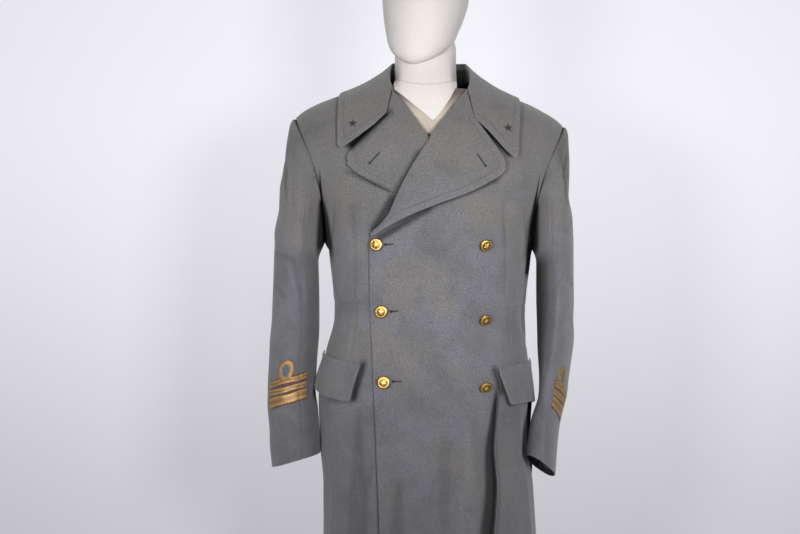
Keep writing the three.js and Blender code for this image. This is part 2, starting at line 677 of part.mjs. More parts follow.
function torsoRing(row) {
  return circle.map((angle) => {
    const across = Math.cos(angle);
    const face = Math.sin(angle) > -1e-9 ? -1 : 1;
    if (row.z !== undefined) {
      return bodyPoint(face, Math.asin(across), row.z, -along(torsoGaps, 'gap', row.z));
    }
    const topX = shoulder.mid + (armhole.tip - torso.side) * across;
    const crown = Math.min(shoulderLine(topX) - 1.6, torso.top);
    const z = lerp(armhole.armpit, crown, row.v);
    const wide = armhole.waist - torso.side + (armhole.tip - armhole.waist) * row.v ** 1.4;
    const back = face < 0 ? torso.frontBack * smooth((1455 - z) / 60) : 0;
    const gap = along(torsoGaps, 'gap', z) + back;
    const point = bodyPoint(face, Math.asin((wide * across) / halfAt(z)), z, -gap);
    point.y *= Math.sqrt(1 - across ** 12);
    return point;
  });
}

const chestRows = steps(7, torso.low, 1280).map((z) => ({ z }));
const crownRows = steps(8).map((t) => ({ v: 1 - (1 - t) ** 1.8 }));
stack('form_torso', [...chestRows, ...crownRows], torsoRing, linen);

function oval(row) {
  return circle.filter((_, i) => i % 2 === 0).map((angle) => new THREE.Vector3(
    row.x + row.wide * Math.cos(angle), row.y - row.deep * Math.sin(angle), row.z));
}

const neckRows = [
  { z: torso.top - 1.1, x: -9, y: 4, wide: 62, deep: 62 },
  { z: 1506, x: -9, y: 3, wide: 57.5, deep: 58 },
  { z: 1522, x: -9, y: 1, wide: 55.5, deep: 56 },
  { z: 1541, x: -10, y: -2, wide: 55.5, deep: 57 },
];
const headRows = [
  { z: 1541.4, x: -16, y: -20, wide: 46, deep: 56 },
  { z: 1548, x: -15, y: -20, wide: 56, deep: 68 },
  { z: 1565, x: -13, y: -17, wide: 65, deep: 78 },
  { z: 1595, x: -11.5, y: -11, wide: 72, deep: 89 },
  { z: 1635, x: -10.5, y: -5, wide: 77.5, deep: 97 },
  { z: 1680, x: -10.5, y: 0, wide: 79, deep: 100 },
  { z: 1725, x: -10.5, y: 3, wide: 73, deep: 94 },
  { z: 1762, x: -10.5, y: 5, wide: 58, deep: 75 },
  { z: 1788, x: -10.5, y: 6, wide: 37, deep: 48 },
  { z: 1801, x: -10.5, y: 6, wide: 13, deep: 17 },
];
stack('form_neck', neckRows, oval, linen);
stack('form_head', headRows, oval, linen);

// The stand: a pole under the torso and a flat round base.
const stand = { baseRadius: 190, baseHigh: 10, poleRadius: 16 };
const base = new THREE.Mesh(
  new THREE.CylinderGeometry(stand.baseRadius, stand.baseRadius, stand.baseHigh, 48).rotateX(Math.PI / 2),
  new THREE.MeshStandardMaterial(steel),
);
base.name = 'stand_base';
base.position.z = stand.baseHigh / 2;
coat.add(base);

const poleLow = stand.baseHigh + seam;
const poleHigh = torso.low - seam;
const pole = new THREE.Mesh(
  new THREE.CylinderGeometry(stand.poleRadius, stand.poleRadius, poleHigh - poleLow, 20).rotateX(Math.PI / 2),
  new THREE.MeshStandardMaterial(steel),
);
pole.name = 'stand_pole';
pole.position.z = (poleLow + poleHigh) / 2;
coat.add(pole);

export default coat;
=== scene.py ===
import bmesh
import bpy
import numpy as np
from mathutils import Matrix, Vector


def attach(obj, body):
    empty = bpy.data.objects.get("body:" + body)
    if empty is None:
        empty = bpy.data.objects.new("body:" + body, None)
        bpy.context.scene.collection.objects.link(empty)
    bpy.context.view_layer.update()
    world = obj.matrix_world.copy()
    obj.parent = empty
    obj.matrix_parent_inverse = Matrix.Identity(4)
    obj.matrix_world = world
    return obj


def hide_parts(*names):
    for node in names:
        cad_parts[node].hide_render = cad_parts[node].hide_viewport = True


# A double-breasted military overcoat on a display form. Shapes are worked out in millimetres,
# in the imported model's frame, and go to metres when a mesh is made. The wearer faces -Y.
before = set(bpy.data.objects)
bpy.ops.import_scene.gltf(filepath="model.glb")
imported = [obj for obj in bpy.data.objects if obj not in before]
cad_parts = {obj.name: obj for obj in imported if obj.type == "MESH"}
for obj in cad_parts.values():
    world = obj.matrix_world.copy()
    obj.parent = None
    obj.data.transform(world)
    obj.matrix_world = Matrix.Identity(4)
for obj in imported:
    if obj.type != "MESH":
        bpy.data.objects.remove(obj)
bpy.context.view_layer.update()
print("frame loaded")


def table(names, *rows):
    # a list of rows, each a dictionary with the named columns
    return [dict(zip(names.split(), row)) for row in rows]


cloth = 2.2  # thickness of the wool
seamGap = 0.3
# heights of the hem, of the break where the lapels start to roll, and of the gorge where they end
coatEnds = {"hem": 352, "break": 1231, "gorge": 1490}
# the body at each height: the X of its middle, half its width, and its depth in front and behind
bodyRows = table(
    "z mid half front back",
    (352, -3, 204, 174, 176),
    (500, -3, 197, 163, 163),
    (700, -4, 189, 149, 147),
    (790, -6, 186, 142, 138),
    (870, -15, 183, 136, 130),
    (965, -14, 186, 130, 121),
    (1030, -9, 178, 124, 111),
    (1090, -8, 165, 119, 102),
    (1190, -6, 174, 125, 110),
    (1240, -5, 180, 127, 115),
    (1296, -4, 192, 125, 116),
    (1331, -4, 222, 121, 114),
    (1373, -4, 250, 116, 111),
    (1425, -4, 285, 110, 107),
    (1560, -4, 285, 104, 102),
)
# the height of the shoulders by the distance from the middle
shoulderRows = table(
    "reach z",
    (0, 1540),
    (50, 1526),
    (80, 1512),
    (120, 1496),
    (150, 1485.5),
    (197, 1466),
    (225, 1450),
    (240, 1437),
)
shoulder = {"mid": -4, "tilt": 0.03, "front": 150, "back": 135}
armhole = {"tip": 239, "waist": 188, "armpit": 1294, "drop": 3}
neckOpening = {"half": 80, "backZ": 1500}
fullness = 0.25  # how square the body is in plan: 0 is an ellipse

# the largest folds of the skirt: where each runs at its top and at the hem; a lean above 0
# makes the side towards the wearer's right steep
foldRows = table(
    "face top topX hemX deep wide lean",
    (-1, 940, 138, 138, 14, 26, 0),
    (-1, 900, 60, 30, 9, 22, 0.2),
    (-1, 960, -128, -140, -11, 16, 0.2),
    (-1, 860, -64, -40, -9, 15, -0.3),
    (1, 1010, -95, -112, -15, 20, 0.4),
    (1, 1000, 88, 98, -17, 19, -0.4),
    (1, 900, -40, -52, 8, 24, 0),
    (1, 930, 46, 58, 9, 22, 0.2),
)
# the deep fold under the left flap: the angle of its bottom, its depth, width and ridge
pleatRows = table(
    "z angle deep wide ridge",
    (352, 24, 30, 26, 3),
    (560, 28.5, 36, 25, 4),
    (719, 34.6, 42, 26, 5),
    (760, 36.6, 40, 24, 6),
    (846, 40.2, 32, 19, 6),
    (939, 42.4, 18, 10, 5),
    (992, 43.5, 0, 6, 0),
)
# creases and seams round the body, by the angle in degrees from the middle of the front
bodyCreases = table(
    "a1 z1 a2 z2 deep wide lean",
    (-36, 1116, -92, 1118, -2.2, 2.6, 0),
    (43, 1109, 92, 1112, -2.2, 2.6, 0),
    (-40, 1127, -90, 1131, 1.3, 9, 0),
    (46, 1121, 90, 1124, 1.2, 9, 0),
    (-48.6, 1300, -46.6, 1226, -2.4, 11, 0),
    (-46.6, 1270, -49, 1160, -2.6, 5, 0),
    (-49, 1180, -50, 1118, -2.4, 3.2, 0),
    (-50, 1114, -48, 1020, -2.4, 3.2, 0),
    (42, 1300, 46, 1222, -2.6, 7, -0.3),
    (45, 1250, 52.6, 1112, -2.4, 3.5, 0),
    (56.6, 1108, 54, 1016, -2.4, 3.2, 0),
    (27.8, 860, 25.5, 560, 3.5, 5, 0),
    (24.8, 930, 21.4, 640, 7, 9, 0),
    (12, 900, 6, 700, -4, 14, 0),
    (-16, 812, -21, 700, -6, 5, -0.3),
    (-21, 800, -24, 720, 3.5, 6, 0),
    (-28, 860, -34, 796, -4, 7, 0.4),
    (-39, 935, -40, 690, -4.5, 9, 0),
    (-60, 930, -63, 560, 4, 15, 0),
    (63, 930, 66, 560, 4.5, 12, 0),
    (-4, 1060, 2, 860, 1.6, 18, 0),
    (-14, 1210, -5, 1130, -1.2, 14, 0),
    (14, 1190, 22, 1030, 1.6, 16, 0),
    (60, 1290, 74, 1210, -3, 9, 0),
    (-62, 1296, -78, 1200, -3.5, 9, 0),
    (70, 1250, 80, 1140, 2.2, 11, 0),
    (-70, 1240, -80, 1136, 2.2, 11, 0),
    (-84, 1180, -66, 1128, -2, 8, 0),
    (84, 1172, 68, 1126, -2, 8, 0),
    (40, 1390, 56, 1318, -2.5, 10, 0),
    (-46, 1350, -60, 1310, -2, 9, 0),
    (128, 1400, 118, 1300, -3.5, 12, 0.3),
    (-130, 1390, -120, 1296, -3, 12, -0.3),
    (148, 1240, 146, 1100, -2, 5, 0),
    (-147, 1240, -146, 1100, -2, 5, 0),
    (146, 1096, 150, 980, -2, 5, 0),
    (-146, 1096, -150, 985, -2, 5, 0),
    (103, 1300, 106, 1206, 15, 20, 0),
    (-103, 1300, -106, 1206, 15, 20, 0),
    (100, 1236, 97, 1040, 12, 15, 0),
    (97, 990, 97, 800, 10, 12, 0),
    (92, 1110, 178, 1104, -1.4, 4, 0),
    (-92, 1112, -178, 1104, -1.4, 4, 0),
    (160, 1180, 120, 1128, 2.4, 13, 0),
    (-165, 1170, -128, 1122, 2.2, 12, 0),
    (166, 1330, 150, 1250, -1.6, 16, 0),
    (-170, 1300, -156, 1230, -1.6, 15, 0),
    (110, 980, 112, 560, 5, 13, 0.3),
    (-112, 990, -108, 520, 5, 13, -0.3),
    (128, 900, 133, 420, -5, 12, 0),
    (-131, 930, -127, 460, -5, 11, 0),
)
# the free edge of the left front, and the roll line of its lapel above the break
edgeRows = table(
    "z x",
    (352, -72),
    (730, -87),
    (995, -100),
    (1170, -106),
    (1231, -101),
    (1254, -81),
    (1268, -70),
    (1298, -57),
    (1331, -42),
    (1400, -2),
    (1450, 32),
    (1490, 63),
    (1520, 80),
)
edgeMirror = -4.7
# how far the over front stands off, where that starts and fades out, and how the under one is tucked
overlap = {
    "past": 65,
    "fade": 55,
    "least": 3.6,
    "most": 8,
    "from": (1150, 80),
    "to": (910, 190),
    "tuck": (8, 4, 40),
}
creaseFade = {"top": 1520, "over": 60}  # the shoulders are smooth
mmPerDegree = {"body": 3.0, "pleat": 3.05, "sleeve": 0.9, "sleeveRipple": 1.2}  # round the cloth
pleatWall = {"thick": 3.2, "fall": 1.5, "ridgeWide": 16}
# each sine's height, its length round and up in millimetres over a full turn, and where it starts
rippleWaves = ((0.45, 31, 57, 0.6), (0.35, 19, -41, 2.1), (0.3, 53, 23, 4.4), (0.2, 11, 83, 1.3))


def lerp(a, b, t):
    # a straight mix of two values
    return a + (b - a) * t


def smooth(x):
    # 0 to 1 with level ends: 3 t^2 - 2 t^3
    t = np.clip(x, 0, 1)
    return t * t * (3 - 2 * t)


def bell(x):
    # 1 in the middle and falling to nothing on both sides: e to the power -x^2
    return np.exp(-(x**2))


def curved(start, end, leave, arrive, t):
    # a Hermite curve: the ends eased into each other, and the pull of the two directions
    ease = t * t * (3 - 2 * t)
    return start * (1 - ease) + end * ease + leave * t * (1 - t) ** 2 + arrive * t * t * (t - 1)


def along(rows, key, at, by="z"):
    # a column of a table as a cubic through its rows, with harmonic slopes so it never overshoots
    xs = np.array([row[by] for row in rows], float)
    ys = np.array([row[key] for row in rows], float)
    at = np.clip(np.asarray(at, float), xs[0], xs[-1])
    rate = np.diff(ys) / np.diff(xs)
    before, after = rate[:-1], rate[1:]
    same = before * after > 0
    inner = np.where(same, 2 * before * after / np.where(same, before + after, 1), 0)
    slope = np.concatenate([rate[:1], inner, rate[-1:]])
    i = np.clip(np.searchsorted(xs, at, side="left") - 1, 0, len(xs) - 2)
    span = xs[i + 1] - xs[i]
    return curved(ys[i], ys[i + 1], slope[i] * span, slope[i + 1] * span, (at - xs[i]) / span)


def shoulderLine(x):
    # the height of the shoulders by the distance from the neck, a little lower on the left
    reach = np.abs(x - shoulder["mid"])
    return along(shoulderRows, "z", reach, "reach") - shoulder["tilt"] * x


def leaning(off, lean):
    # a bell whose sides differ: its width grows to one side and shrinks to the other
    return bell(off / (1 + lean * np.tanh(2 * off)))


def foldDepth(face, x, z):
    # each fold is a bell across its line, deeper towards the hem
    total = np.zeros(np.broadcast(x, z).shape)
    for row in foldRows:
        if row["face"] == face:
            down = (row["top"] - z) / (row["top"] - coatEnds["hem"])
            off = (x - lerp(row["topX"], row["hemX"], down)) / row["wide"]
            total += row["deep"] * smooth(down * 2.6) * leaning(off, row["lean"])
    return total


def creaseDepth(rows, angle, z, perDegree):
    # each crease is a bell across a line on the unrolled cloth, fading out at both ends
    total = np.zeros(np.broadcast(angle, z).shape)
    for row in rows:
        runA = (row["a2"] - row["a1"]) * perDegree
        runZ = row["z2"] - row["z1"]
        length = np.hypot(runA, runZ)
        a = (angle - row["a1"]) * perDegree
        h = z - row["z1"]
        t = (a * runA + h * runZ) / length**2
        off = (a * runZ - h * runA) / length / row["wide"]
        fade = smooth(3.2 * t + 0.3) * smooth(3.2 * (1 - t) + 0.3)
        total += row["deep"] * fade * leaning(off, row["lean"])
    return total


def pleatDepth(angle, z):
    # a deep fold of the left front: it sinks slowly, then a steep wall stands up to a ridge
    read = lambda key: along(pleatRows, key, z)
    past = (angle - read("angle")) * mmPerDegree["pleat"]
    sunk = -read("deep") * np.exp(-((np.maximum(-past, 0) / read("wide")) ** pleatWall["fall"]))
    ridge = read("ridge") * bell(np.maximum(past, 0) / pleatWall["ridgeWide"])
    return lerp(sunk, ridge, smooth(past / pleatWall["thick"] + 0.5))


def ripple(a, b):
    # a slow uneven swell of about a millimetre, the sum of four sines of odd lengths
    return sum(size * np.sin(a / longA + b / longB + start) for size, longA, longB, start in rippleWaves)


def halfAt(z):
    # half the body's width at a height
    return along(bodyRows, "half", z)


def bodyPoint(face, turn, z, level=0.0, creased=True):
    # a bent ellipse at each height, closed over to the shoulder line, moved out by the level
    mid, half = along(bodyRows, "mid", z), halfAt(z)
    across = np.sin(turn)
    rise = shoulder["front"] if face < 0 else shoulder["back"]
    high = np.clip(1 - (shoulderLine(mid + half * across) - z) / rise, 0, 1)
    out = np.sqrt(1 - high * high)
    depth = along(bodyRows, "front" if face < 0 else "back", z)
    if creased:
        angle = np.degrees(turn) if face < 0 else np.sign(turn) * 180 - np.degrees(turn)
        swell = creaseDepth(bodyCreases, angle, z, mmPerDegree["body"])
        swell = swell + ripple(angle * mmPerDegree["body"], z)
        level = level + swell * smooth((creaseFade["top"] - z) / creaseFade["over"])
        depth = depth + foldDepth(face, mid + half * across, z)
        if face < 0:
            depth = depth + pleatDepth(angle, z)
    full = np.cos(turn) * (1 + fullness * across * across)
    y = face * ((depth + level) * full * out + seamGap / 2)
    return np.stack([mid + (half + level * out) * across, y, z + level * high], -1)


def turnAt(x, z):
    # the turn round the body, from the middle of a face, at which it is this far across
    return np.arcsin(np.clip((x - along(bodyRows, "mid", z)) / halfAt(z), -1, 1))


def frontPlace(x, z, level):
    # a point of the creased front
    return bodyPoint(-1, turnAt(x, z), z, level)


def aroundPoint(angle, z, level):
    # any angle round the uncreased body, 0 in front and 90 degrees at the wearer's left side
    behind = np.abs(angle) > np.pi / 2
    front = bodyPoint(-1, np.clip(angle, -np.pi / 2, np.pi / 2), z, level, creased=False)
    back = bodyPoint(1, np.sign(angle) * np.pi - angle, z, level, creased=False)
    return np.where(behind[..., None], back, front)


def yokePoint(x, tip, level):
    # a point by its X and the angle in degrees forward or back of the shoulder line
    points = []
    for face, rise in ((-1, shoulder["front"]), (1, shoulder["back"])):
        z = shoulderLine(x) - rise * (1 - np.cos(np.radians(tip)))
        points.append(bodyPoint(face, turnAt(x, z), z, level, creased=False))
    return np.where((tip >= 0)[..., None], *points)


def armholeAt(side, share):
    # the armhole seam from the armpit (0) to the shoulder tip (1)
    topZ = shoulderLine(shoulder["mid"] + side * armhole["tip"])
    lowZ = armhole["armpit"] - side * armhole["drop"]
    z = lerp(lowZ, topZ, share)
    share = np.clip(share, 0, 1)
    wide = lerp(armhole["waist"], armhole["tip"], share**1.4)
    flat = (halfAt(lowZ) - armhole["waist"]) * (1 - share) ** 12
    return z, side * np.arcsin(np.clip((wide + flat) / halfAt(z), 0, 1))


def edgeAt(side, z):
    # the free edge of a front, the right one mirrored about the middle of the overlap
    x = along(edgeRows, "x", z)
    return x if side > 0 else 2 * edgeMirror - x


def overLevel(x, z):
    # how far the left front stands off over the right one, most at the chest and the hem
    past = smooth((edgeAt(-1, z) + overlap["past"] - x) / overlap["fade"])
    high = smooth((z - overlap["from"][0]) / overlap["from"][1])
    low = smooth((overlap["to"][0] - z) / overlap["to"][1])
    return lerp(overlap["least"], overlap["most"], high + low) * past


def underLevel(x, z):
    # the right front is tucked in behind the left one's edge
    deep, lead, fade = overlap["tuck"]
    return -deep * smooth((x - edgeAt(1, z) + lead) / fade)


def spaced(count, *peaks):
    # shares from 0 to 1, closer together round each peak (centre, half width, how much)
    fine = np.linspace(0, 1, 2001)
    density = 1 + sum(much * bell((fine - centre) / wide) for centre, wide, much in peaks)
    total = np.concatenate([[0], np.cumsum((density[1:] + density[:-1]) / 2)])
    return np.interp(np.linspace(0, 1, count + 1), total / total[-1], fine)


def unit(v):
    # a direction of length 1
    return v / np.maximum(np.linalg.norm(v, axis=-1, keepdims=True), 1e-9)


def gridNormals(grid, closed=False):
    # the cross product of the steps along the two directions of the grid
    du = np.roll(grid, -1, 1) - np.roll(grid, 1, 1) if closed else np.gradient(grid, axis=1)
    return unit(np.cross(du, np.gradient(grid, axis=0)))


def gridFaces(high, wide, closed):
    # quads between the rows of a grid; a closed row runs on round to its first point
    index = np.arange(high * wide).reshape(high, wide)
    here, after = (index, np.roll(index, -1, 1)) if closed else (index[:, :-1], index[:, 1:])
    return np.stack([here[:-1], after[:-1], after[1:], here[1:]], -1).reshape(-1, 4)


def rims(high, wide, closed):
    # the grid's edge loops, anticlockwise, with the neighbour inside each vertex
    index = np.arange(high * wide).reshape(high, wide)
    if closed:
        return [(index[0][::-1], index[1][::-1]), (index[-1], index[-2])]
    loop = np.concatenate([index[0, ::-1], index[1:, 0], index[-1, 1:], index[-2:0:-1, -1]])
    near = np.clip(loop // wide, 1, high - 2) * wide + np.clip(loop % wide, 1, wide - 2)
    return [(loop, near)]


def shellFaces(high, wide, loops, closed):
    # quads of a closed skin: the grid's outer and inner sides, and a rounded rim between them
    outer = gridFaces(high, wide, closed)
    inner, start = high * wide, 2 * high * wide
    faces = [outer, outer[:, ::-1] + inner]
    for loop in loops:
        middle = start + np.arange(len(loop))
        start += len(loop)
        after, beyond = np.roll(loop, -1), np.roll(middle, -1)
        faces.append(np.stack([loop, after, beyond, middle], -1))
        faces.append(np.stack([middle, beyond, after + inner, loop + inner], -1))
    return np.concatenate(faces)


def addMesh(name, points, faces, replaced, material, values):
    # a smooth piece in metres that rides on the root; a volume below 0 turns its faces outwards
    tri = points[faces]
    volume = (tri[:, 0] * (np.cross(tri[:, 1], tri[:, 2]) + np.cross(tri[:, 2], tri[:, 3]))).sum()
    if volume < 0:
        faces = faces[:, ::-1]
    words = name.split("_")
    mesh = bpy.data.meshes.new(words[0] + "".join(word.title() for word in words[1:]))
    mesh.vertices.add(len(points))
    mesh.vertices.foreach_set("co", (points / 1000).astype(np.float32).ravel())
    mesh.loops.add(faces.size)
    mesh.loops.foreach_set("vertex_index", faces.astype(np.int32).ravel())
    mesh.polygons.add(len(faces))
    mesh.polygons.foreach_set("loop_start", np.arange(0, faces.size, 4, dtype=np.int32))
    mesh.polygons.foreach_set("use_smooth", np.ones(len(faces), bool))
    for key, value in values.items():
        attribute = mesh.attributes.new(key, "FLOAT", "POINT")
        attribute.data.foreach_set("value", value.astype(np.float32))
    mesh.update(calc_edges=True)
    mesh.validate()
    mesh.materials.append(material)
    piece = bpy.data.objects.new(mesh.name, mesh)
    bpy.context.scene.collection.objects.link(piece)
    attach(piece, "root")
    if replaced:
        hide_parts(*replaced)
    return piece


def squareMetres(grid):
    # the area of a grid: half the cross product of each quad's diagonals
    a, b = grid[1:, 1:] - grid[:-1, :-1], grid[1:, :-1] - grid[:-1, 1:]
    return np.linalg.norm(np.cross(a, b), axis=-1).sum() / 2e6


def clothShell(name, grid, thick, slot, replaced=None, material=None, closed=False, flip=False, values=None):
    # the visible side is the grid; the inner side lies the cloth's thickness below it, and the
    # rim is drawn out by half the thickness so that the edge is round
    high, wide = grid.shape[:2]
    material = material or finishes[slot]
    normal = gridNormals(grid, closed) * (-1 if flip else 1)
    outer = grid.reshape(-1, 3)
    inner = (grid - normal * thick).reshape(-1, 3)
    loops = rims(high, wide, closed)
    middle = [
        (outer[loop] + inner[loop]) / 2 + unit(outer[loop] - outer[near]) * thick / 2 for loop, near in loops
    ]
    points = np.concatenate([outer, inner, *middle])
    faces = shellFaces(high, wide, [loop for loop, near in loops], closed)
    spread = {}
    values = dict(values or {})
    woollen = material is finishes["wool"]
    if woollen:
        values.setdefault("shade", np.zeros(grid.shape[:2]))
    for key, value in values.items():
        flat = value.ravel()
        # the wool's inner side is at least this dark: the lining's colour, and painted shade where the
        # inside shows in cuffs and gaps
        within = np.maximum(flat, wool["lined"]) if key == "shade" and woollen else flat
        spread[key] = np.concatenate([flat, within, *[flat[loop] for loop, near in loops]])
    print(f"{name}: {len(faces) * 2} triangles, {squareMetres(grid):.3f} square metres")
    return addMesh(name, points, faces, [name] if replaced is None else replaced, material, spread)


def roundPiece(name, grid, slot, values=None):
    # a closed body of rings, whose first and last are points: their doubles are joined
    values = {key: value.ravel() for key, value in (values or {}).items()}
    faces = gridFaces(*grid.shape[:2], True)
    piece = addMesh(name, grid.reshape(-1, 3), faces, [name], finishes[slot], values)
    made = bmesh.new()
    made.from_mesh(piece.data)
    bmesh.ops.remove_doubles(made, verts=made.verts, dist=1e-6)
    bmesh.ops.dissolve_degenerate(made, edges=made.edges, dist=1e-7)
    bmesh.ops.recalc_face_normals(made, faces=made.faces)
    made.to_mesh(piece.data)
    made.free()
    piece.data.update()


def edgeAway(grid, edges):
    # the distance in millimetres from each point to the nearest point of the free edges
    edge = np.concatenate(edges)[::2]
    flat = grid.reshape(-1, 3)
    away = np.full(len(flat), 1e9)
    for block in np.array_split(edge, max(1, len(edge) // 60)):
        away = np.minimum(away, np.linalg.norm(flat[:, None] - block[None], axis=-1).min(1))
    return away.reshape(grid.shape[:2])


def stitched(grid, away, deep, flip):
    # sinks a narrow groove into the cloth along a line of stitching, a bell across the line
    normal = gridNormals(grid) * (-1 if flip else 1)
    line = bell((away - wool["stitchInset"]) / wool["stitchWide"])
    values = {"edgeWearAndRidgeLight": np.exp(-away / wool["rubWide"]), "stitch": line}
    return grid - normal * (deep * line)[..., None], values


def colour(hexCode, alpha=1.0):
    # an sRGB hex value as linear red, green, blue and alpha
    parts = np.array([int(hexCode[i : i + 2], 16) / 255 for i in (1, 3, 5)])
    linear = np.where(parts <= 0.04045, parts / 12.92, ((parts + 0.055) / 1.055) ** 2.4)
    return (*linear, alpha)


def fillNode(tree, node, inputs):
    # each input is a property, a socket's value, or another node's socket to link from
    for key, value in inputs.items():
        if isinstance(value, bpy.types.NodeSocket):
            tree.links.new(value, node.inputs[key])
        elif isinstance(key, str) and hasattr(node, key):
            setattr(node, key, value)
        else:
            node.inputs[key].default_value = value


def addNode(tree, kind, inputs=None, output=0):
    # adds a node with its settings and links, and gives the output asked for
    made = tree.nodes.new("ShaderNode" + kind)
    fillNode(tree, made, inputs or {})
    return made.outputs[output]


def step(value, low, high, least=0.0, most=1.0):
    # Map Range settings: a smooth step from one amount to another between two levels
    ends = {"From Min": low, "From Max": high, "To Min": least, "To Max": most}
    return {"interpolation_type": "SMOOTHSTEP", "Value": value, **ends}


def startMaterial(name, grains, attributes=(), stretch=None):
    # a material and its patterns: each grain is noise with a size in millimetres, a detail and a
    # roughness, each attribute is a value stored on the mesh, and place is where the point lies
    material = bpy.data.materials.new(name)
    material.use_nodes = True
    tree = material.node_tree
    place = addNode(tree, "TexCoord", {}, "Object")
    if stretch:
        place = addNode(tree, "Mapping", {"Vector": place, "Scale": stretch})
    at = {"place": place}
    for key, (size, detail, rough) in grains.items():
        at[key] = addNode(
            tree, "TexNoise", {"Vector": place, "Scale": 1000 / size, "Detail": detail, "Roughness": rough}
        )
    for key in attributes:
        at[key] = addNode(tree, "Attribute", {"attribute_name": key}, "Fac")
    return material, tree, at


def layered(tree, hexCode, *layers):
    # lays colours over the first one: each shows by its pattern, or by a smooth step of the pattern
    base = colour(hexCode)
    for over, pattern, *span in layers:
        share = addNode(tree, "MapRange", step(pattern, *span)) if span else pattern
        base = addNode(tree, "Mix", {"data_type": "RGBA", 0: share, 6: base, 7: colour(over)}, 2)
    return base


def finishMaterial(material, inputs):
    # sets or links the shader's own sockets
    tree = material.node_tree
    fillNode(tree, tree.nodes["Principled BSDF"], inputs)
    return material


wool = {
    "grey": "#5c5c60",
    "lilac": "#66656c",
    "warm": "#64625e",
    "dark": "#3d3d41",
    "fibre": "#8d8c91",
    "faded": "#6b6860",
    "shadow": "#050506",
    "grains": {
        "blotch": (38, 3, 0.6),
        "fleck": (2.2, 5, 0.7),
        "fibre": (1.3, 3, 0.7),
        "faded": (110, 3, 0.6),
        "soil": (95, 5, 0.65),
    },
    "specular": 0.15,
    "sheen": 0.25,
    "stitchInset": 11.5,
    "stitchWide": 1.7,
    "rubWide": 4,
    "ridge": (0.75, 6),
    "lined": 0.93,
    "hollow": 0.24,
    "hollowDeep": 7,
}


def woolCloth():
    # heavy felted wool: fibres of mixed greys give a mottle, and the nap a soft pale sheen that
    # ends where the cloth lies in shade; fibre and fleck are drawn coarser than real to show
    material, tree, at = startMaterial("feltedOvercoatWool", wool["grains"], ("edgeWearAndRidgeLight", "stitch", "shade"))
    height = addNode(tree, "SeparateXYZ", {"Vector": at["place"]}, "Z")
    # pale nap where the edges are worn, with a painted highlight on the ridges of the folds
    wearAndRidgeLightMix = addNode(tree, "MapRange", step(at["edgeWearAndRidgeLight"], 0.3, 1.0, 0.0, 0.22))
    inFlecks = addNode(tree, "MapRange", step(at["fleck"], 0.3, 0.7))
    wearAndRidgeLightMix = addNode(tree, "Math", {"operation": "MULTIPLY", 0: wearAndRidgeLightMix, 1: inFlecks})
    base = layered(
        tree,
        wool["grey"],
        (wool["lilac"], at["blotch"], 0.38, 0.62),
        (wool["warm"], height, 1.15, 1.45, 0.0, 0.8),
        (wool["faded"], at["faded"], 0.48, 0.62, 0.0, 0.5),
        (wool["dark"], at["soil"], 0.5, 0.72, 0.0, 0.35),
        (wool["dark"], at["fleck"], 0.35, 0.62, 0.55, 0.0),
        (wool["fibre"], at["fibre"], 0.52, 0.72, 0.0, 0.55),
        (wool["fibre"], wearAndRidgeLightMix),
        (wool["dark"], at["stitch"], 0.35, 0.95, 0.0, 0.4),
        # painted shade: the stored shade value mixes the cloth towards near black
        (wool["shadow"], addNode(tree, "Math", {"operation": "MULTIPLY", 0: at["shade"], 1: 0.96})),
        # painted shade: darker towards the hem, below chest height, standing in for the lamps' light falling
        # off
        (wool["dark"], height, 0.7, 1.15, 0.4, 0.0),
    )
    nap = addNode(tree, "Math", {"operation": "MULTIPLY_ADD", 0: at["fleck"], 1: 0.7, 2: at["fibre"]})
    bump = addNode(tree, "Bump", {"Strength": 0.55, "Distance": 0.0016, "Height": nap})
    inputs = {"Base Color": base, "Roughness": 0.95, "Sheen Roughness": 0.55, "Normal": bump}
    for socket, most in (("Specular IOR Level", wool["specular"]), ("Sheen Weight", wool["sheen"])):
        fading = {"operation": "MULTIPLY_ADD", 0: at["shade"], 1: -most, 2: most}
        inputs[socket] = addNode(tree, "Math", fading)
    return finishMaterial(material, inputs)


seamAndShadowHex = "#3f3833"
# covers and felts: their colour, a darker one, the grain in millimetres, roughness and sheen
plainCloths = {
    "liningTwill": ("#131215", "#08080a", 1.4, 0.55, 0.2),  # black, a little smoother than wool
    "formLinen": ("#afa69b", "#968b80", 1.5, 0.9, 0.1),  # unbleached, with a visible thread
    "creamJersey": ("#c8c4c1", "#bfbbb7", 2.0, 0.85, 0.1),  # knitted, matt and nearly even
    "wornFelt": ("#573f3e", "#3a2b2b", 3.0, 0.95, 0.2),  # brownish red, with a cloudy pile
    "blueGreyFelt": ("#4c5a66", "#3e4953", 3.0, 0.95, 0.2),  # the same pile in blue grey
    "blackenedThread": ("#2c2b2b", "#151516", 1.2, 0.6, 0.1),  # metal thread gone dull and dark
}


def plainCloth(name):
    # a woven or knitted cover: a fine grain in two tones, with darker patches and a dark seam,
    # which on the form's linen is a painted shadow from the coat's collar
    hexCode, darker, grainMm, rough, sheen = plainCloths[name]
    grains = {"grain": (grainMm, 4, 0.65), "blotch": (45.45, 2, 0.6)}
    material, tree, at = startMaterial(name, grains, ["seam"])
    patches = (darker, at["blotch"], 0.4, 0.75, 0.0, 0.4)
    base = layered(tree, hexCode, (darker, at["grain"], 0.35, 0.7), patches, (seamAndShadowHex, at["seam"]))
    bump = addNode(tree, "Bump", {"Strength": 0.3, "Distance": 0.0008, "Height": at["grain"]})
    inputs = {"Base Color": base, "Roughness": rough, "Sheen Weight": sheen, "Normal": bump}
    return finishMaterial(material, inputs)


gilt = {"deep": "#68441a", "bright": "#f7cf7c", "dull": "#c29040", "grains": {"tarnish": (2.381, 4, 0.6)}}


